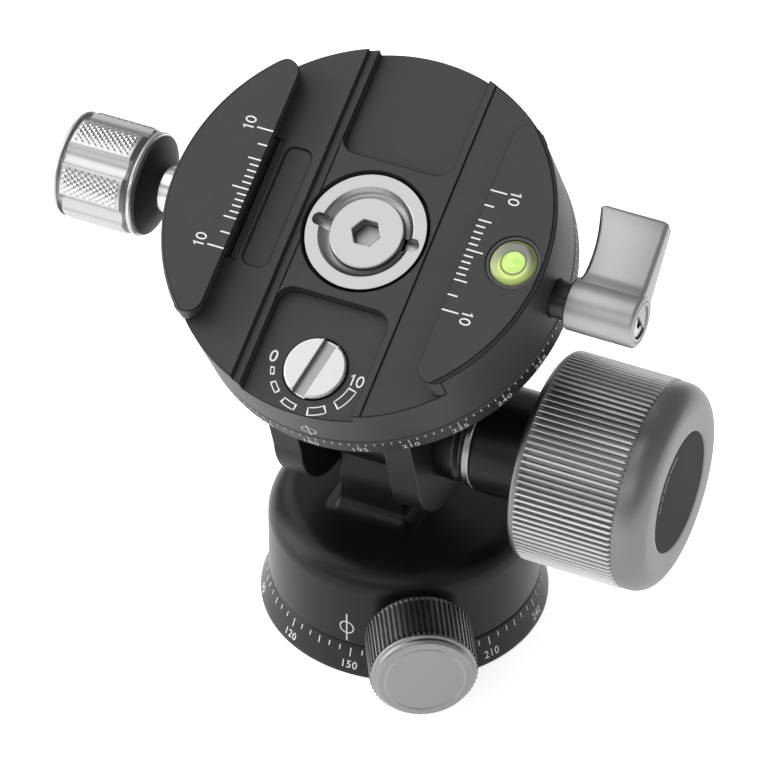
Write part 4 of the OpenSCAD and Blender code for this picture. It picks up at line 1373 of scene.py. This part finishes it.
@dataclass
class ClampKnob(Assembly):
    """Fluted and knurled knob that closes the clamp, with its rim, cone and sleeve."""

    start: float = 37.8
    full: float = 39.05
    last: float = 49.2
    end: float = 50.3
    radius: float = 8.24
    crest: float = 8.46
    groove: float = 7.5
    rim: float = 8.3
    flutes: int = 6
    flute_r: float = 3.0
    flute_c: float = 10.44
    flute_turn: float = -12.0
    columns: int = 5
    rows: int = 17
    steps: int = 360

    def build(self) -> None:
        """Builds the knob and dresses what turns with it."""
        chamfer = replace(STEEL, name="chamfer_grey", colour=(0.16, 0.16, 0.165), roughness=0.4)
        crests = replace(CHROME, name="knurl_crests", roughness=0.17)
        stations = self.stations()
        for name, form, finish, stands_for, smooth in (
                ("clamp_knob_fluted", self.fluted(stations[3:]), CHROME, ("clamp_knob",), 24.0),
                ("clamp_knob_chamfer", self.fluted(stations[:4]), chamfer, (), 24.0),
                ("clamp_knob_knurl", self.teeth(), crests, (), 10.0)):
            self.shop.piece(name, form, SCREW, finish, "clamp_knob", stands_for, smooth=smooth)
        self.shop.skins("screw", clamp_knob_rim=(CHROME, 0.12), clamp_knob_cone=(BLACK_DEEP, 0.10),
                        clamp_sleeve=(SILVER, 0.10), clamp_screw=(STEEL, 0.05))

    def wall(self, degrees: float) -> float:
        """Radius of the fluted wall.

        Args:
            degrees: Direction round the knob.

        Returns:
            The radius in millimetres.
        """
        pitch = 360.0 / self.flutes
        off = math.radians((degrees - self.flute_turn + pitch / 2) % pitch - pitch / 2)
        inner = self.flute_r ** 2 - (self.flute_c * math.sin(off)) ** 2
        if inner <= 0:
            return self.radius
        return min(self.radius, self.flute_c * math.cos(off) - math.sqrt(inner))

    def stations(self) -> list[tuple[float, float, bool]]:
        """Steps of the body from its chamfer to its end rim.

        Returns:
            For each step the height, the largest radius and whether the flutes cut it.
        """
        last, rim, end = self.last, self.rim, self.end
        return [(self.start, 7.15, True), (self.start, self.groove - 0.28, True), (38.4, 7.85, True),
                (38.95, self.radius - 0.05, True), (self.full + 0.15, self.radius, True),
                (last - 0.1, self.radius, True), (last, self.radius - 0.1, True), (last, self.groove, True),
                (last + 0.5, self.groove, False), (last + 0.5, rim - 0.06, False), (last + 0.56, rim, False),
                (end - 0.34, rim, False), (end - 0.14, rim - 0.1, False), (end - 0.03, rim - 0.32, False),
                (end, rim - 0.6, False)]

    def fluted(self, stations: Sequence[tuple[float, float, bool]]) -> Form:
        """A closed body through some of the stations.

        Args:
            stations: Heights, largest radii and whether the flutes cut them.

        Returns:
            The mesh.
        """
        rings = []
        for height, limit, cut in stations:
            reach = [min(limit, self.wall(360.0 * i / self.steps)) if cut else limit
                     for i in range(self.steps)]
            rings.append([(r * math.cos(TAU * i / self.steps), r * math.sin(TAU * i / self.steps), height)
                          for i, r in enumerate(reach)])
        form = loft(rings)
        bmesh.ops.remove_doubles(form, verts=form.verts, dist=1e-7)
        bmesh.ops.recalc_face_normals(form, faces=form.faces)
        return form

    def teeth(self) -> Form:
        """Diamond teeth on the lands between the flutes.

        Returns:
            The mesh.
        """
        pitch, low = 360.0 / self.flutes, self.radius - 0.03
        half = math.degrees(math.acos((self.flute_c ** 2 + self.radius ** 2 - self.flute_r ** 2)
                                      / (2 * self.flute_c * self.radius)))
        across = (pitch - 2 * half - 1.2) / (self.columns + 0.5)
        along = (self.last - self.full - 0.3) / (self.rows + 1)
        wide = math.radians(across) * self.radius
        marks = []
        for flute in range(self.flutes):
            tooth = bmesh.new()
            corners = [tooth.verts.new(Vector((low, y, z)) * MM)
                       for y, z in ((-wide * 0.5, 0), (0, -along), (wide * 0.5, 0), (0, along))]
            tip = tooth.verts.new(Vector((self.crest, 0, 0)) * MM)
            for i in range(4):
                tooth.faces.new((corners[i], corners[(i + 1) % 4], tip))
            tooth.faces.new(corners[::-1])
            bmesh.ops.recalc_face_normals(tooth, faces=tooth.faces)
            start = self.flute_turn + flute * pitch + half + 0.6 + across / 2
            marks.append(self.shop.knurl.bake(
                tooth, CHROME.material(), Count=self.columns * self.rows, Columns=self.columns,
                Start_Turn=math.radians(start), Turn_Step=math.radians(across),
                Start_Height=(self.full + 0.1 + along) * MM, Row_Height=along * MM))
        return join(marks)


@dataclass
class Lever(Assembly):
    """Top lock lever on its stud."""

    inner: float = 32.5
    outer: float = 43.7
    barrel_r: float = 4.1
    reach: float = 16.0
    corner: float = 0.75
    stud_bore: float = 1.95
    spring_bore: float = 2.62

    def build(self) -> None:
        """Builds the arm and dresses the rest."""
        self.shop.skins("lever", lever_stud=(DARK_STEEL, 0.06), lever_spring=(STEEL, 0.0),
                        lever_screw=(STEEL, 0.0))
        grey = replace(GREY, name="lever_grey", colour=(0.36, 0.36, 0.365), grain=Grain.BLASTED,
                       roughness=0.42)
        barrel = self.barrel()
        barrel.transform(shift(0, 0, LEVER_HEIGHT) @ turn(90, "Y"))
        self.shop.piece("lever_arm_cast", join([barrel, self.paddle()]), CLAMP, grey, "lever", ("lever_arm",),
                        smooth=34.0)

    def barrel(self) -> Form:
        """The bored barrel with rounded ends.

        Returns:
            The mesh.
        """
        a, b, r, bore, wide = self.inner, self.outer, self.barrel_r, self.stud_bore, self.spring_bore
        return lathe([(bore, a), (r - 0.5, a), *arc(r - 0.5, a + 0.5, 0.5, -80, 0, 5),
                      *arc(r - 0.6, b - 0.6, 0.6, 0, 80, 5), (3.35, b), (3.2, b - 0.16), (3.05, b), (wide, b),
                      (wide, a + 3.1), (bore, a + 3.1)], 96)

    @staticmethod
    def thickness(along: float) -> float:
        """Half the paddle's thickness: a valley beside the barrel, then an even taper."""
        body, blend = 2.75 - 0.085 * along, max(0.0, min(1.0, (along - 2.2) / 2.2))
        return 3.3 * (1.0 - blend) + body * blend if along < 4.4 else body

    def paddle(self) -> Form:
        """The hollow-sided paddle, rounded all round.

        Returns:
            The mesh.
        """
        rings, steps, tip = [], 34, self.corner * 1.2
        for i in range(steps + 1):
            along = self.reach * (i / steps)
            if i >= steps - 6:
                along = self.reach - tip * (1 - math.sin(math.pi / 2 * (i - steps + 7) / 7))
            share, past = along / self.reach, max(0.0, along - (self.reach - tip)) / tip
            inset = self.corner * (1.0 - math.sqrt(max(0.0, 1.0 - past * past)))
            left = self.inner + 0.35 + 1.1 * math.sin(math.pi * share) - 1.6 * share + inset
            right = self.outer - 0.05 - 1.15 * share - inset
            half = max(0.25, self.thickness(along) - inset)
            r = min(self.corner, half * 0.9)
            rings.append([(x, along, LEVER_HEIGHT + h)
                          for x, h in cushion(left + r, right - r, r - half, half - r, r, 4)])
        return loft(rings)


# ---------------------------------------------------------------- studio
@dataclass(frozen=True)
class Softbox:
    """A soft rectangular light that faces a point."""

    name: str
    place: tuple[float, float, float]
    size: tuple[float, float]
    radiance: float
    aim: tuple[float, float, float] = (0.0, 0.0, 0.05)

    def build(self) -> None:
        """Adds the light; its power follows from its brightness and size."""
        data = bpy.data.lights.new(self.name, "AREA")
        data.shape, data.size, data.size_y = "RECTANGLE", self.size[0], self.size[1]
        data.energy = self.radiance * math.pi * self.size[0] * self.size[1]
        lamp = bpy.data.objects.new(self.name, data)
        bpy.context.scene.collection.objects.link(lamp)
        lamp.location = self.place
        lamp.rotation_euler = (Vector(self.place) - Vector(self.aim)).to_track_quat("Z", "Y").to_euler()


@dataclass
class Studio:
    """Pale floor, soft lights and the camera of the photograph."""

    lens: float = 241.97
    sensor: float = 36.0
    azimuth: float = 24.935
    height: float = 39.5105
    aim_mm: tuple[float, float, float] = (-3.3285, 32.544, 833.33)
    world: float = 0.40
    floor_glow: float = 0.80
    boxes: tuple[Softbox, ...] = (
        Softbox("top_box", (-0.42, -0.10, 0.85), (0.80, 0.80), 1.75),
        Softbox("back_box", (-0.62, 0.50, 0.60), (0.50, 0.50), 1.3),
        Softbox("left_box", (-0.85, -0.25, 0.22), (0.60, 0.90), 3.6),
        Softbox("front_box", (-0.50, -0.80, 0.40), (0.60, 0.50), 0.8),
        Softbox("brow_box", (0.05, -0.82, 0.60), (0.75, 0.30), 1.5),
        Softbox("right_box", (0.85, -0.25, 0.45), (0.50, 0.60), 0.20),
    )

    def build(self) -> None:
        """Sets the stage."""
        bpy.context.scene.view_settings.view_transform = "Standard"
        self.camera()
        self.floor()
        self.backdrop()
        for light in self.boxes:
            light.build()

    def camera(self) -> None:
        """Puts the camera where the photograph was taken."""
        azimuth, height = math.radians(self.azimuth), math.radians(self.height)
        toward = Vector((math.sin(azimuth) * math.cos(height), -math.cos(azimuth) * math.cos(height),
                         math.sin(height)))
        right = Vector((math.cos(azimuth), math.sin(azimuth), 0.0))
        up = toward.cross(right)
        axes = Matrix((right, up, toward)).transposed()
        data = bpy.data.cameras.new("camera")
        data.lens, data.sensor_width, data.clip_start = self.lens, self.sensor, 0.01
        view = bpy.data.objects.new("camera", data)
        bpy.context.scene.collection.objects.link(view)
        view.matrix_world = Matrix.Translation(axes @ Vector(self.aim_mm) * MM) @ axes.to_4x4()
        bpy.context.scene.camera = view

    def floor(self) -> None:
        """A plain pale floor."""
        form = bmesh.new()
        bmesh.ops.create_grid(form, x_segments=2, y_segments=2, size=6.0)
        mesh = plain(form, "floor")
        material, graph = shader("pale_floor")
        here = graph.node("ShaderNodeTexCoord", {}, {}, "Object")
        tone = Finish.noise(graph, here, 400.0, 2.0).ramp(0.3, 0.7)
        pale = graph.blend(tone, (0.90, 0.90, 0.90), (0.93, 0.93, 0.93))
        graph.surface({"Base Color": pale, "Roughness": 0.8, "Emission Color": pale,
                       "Emission Strength": self.floor_glow})
        mesh.materials.append(material)
        ground = bpy.data.objects.new("floor", mesh)
        ground.visible_diffuse = False
        bpy.context.scene.collection.objects.link(ground)

    def backdrop(self) -> None:
        """Weak light from all round."""
        world = bpy.data.worlds.new("studio")
        world.use_nodes = True
        world.node_tree.nodes["Background"].inputs["Color"].default_value = (1.0, 1.0, 1.0, 1.0)
        world.node_tree.nodes["Background"].inputs["Strength"].default_value = self.world
        bpy.context.scene.world = world


def main() -> None:
    """Builds every sub-assembly in order."""
    logging.basicConfig(level=logging.INFO, format="%(message)s")
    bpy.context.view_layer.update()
    shop = Workshop(frame)
    Studio().build()
    for kind in (Base, Housing, PanLock, Yoke, LockKnob, Clamp, Jaw, ClampKnob, Lever):
        kind(shop).build()
        log.info("%s done", kind.__name__)
    log.info("%d pieces", shop.made)


if __name__ == "__main__":
    main()
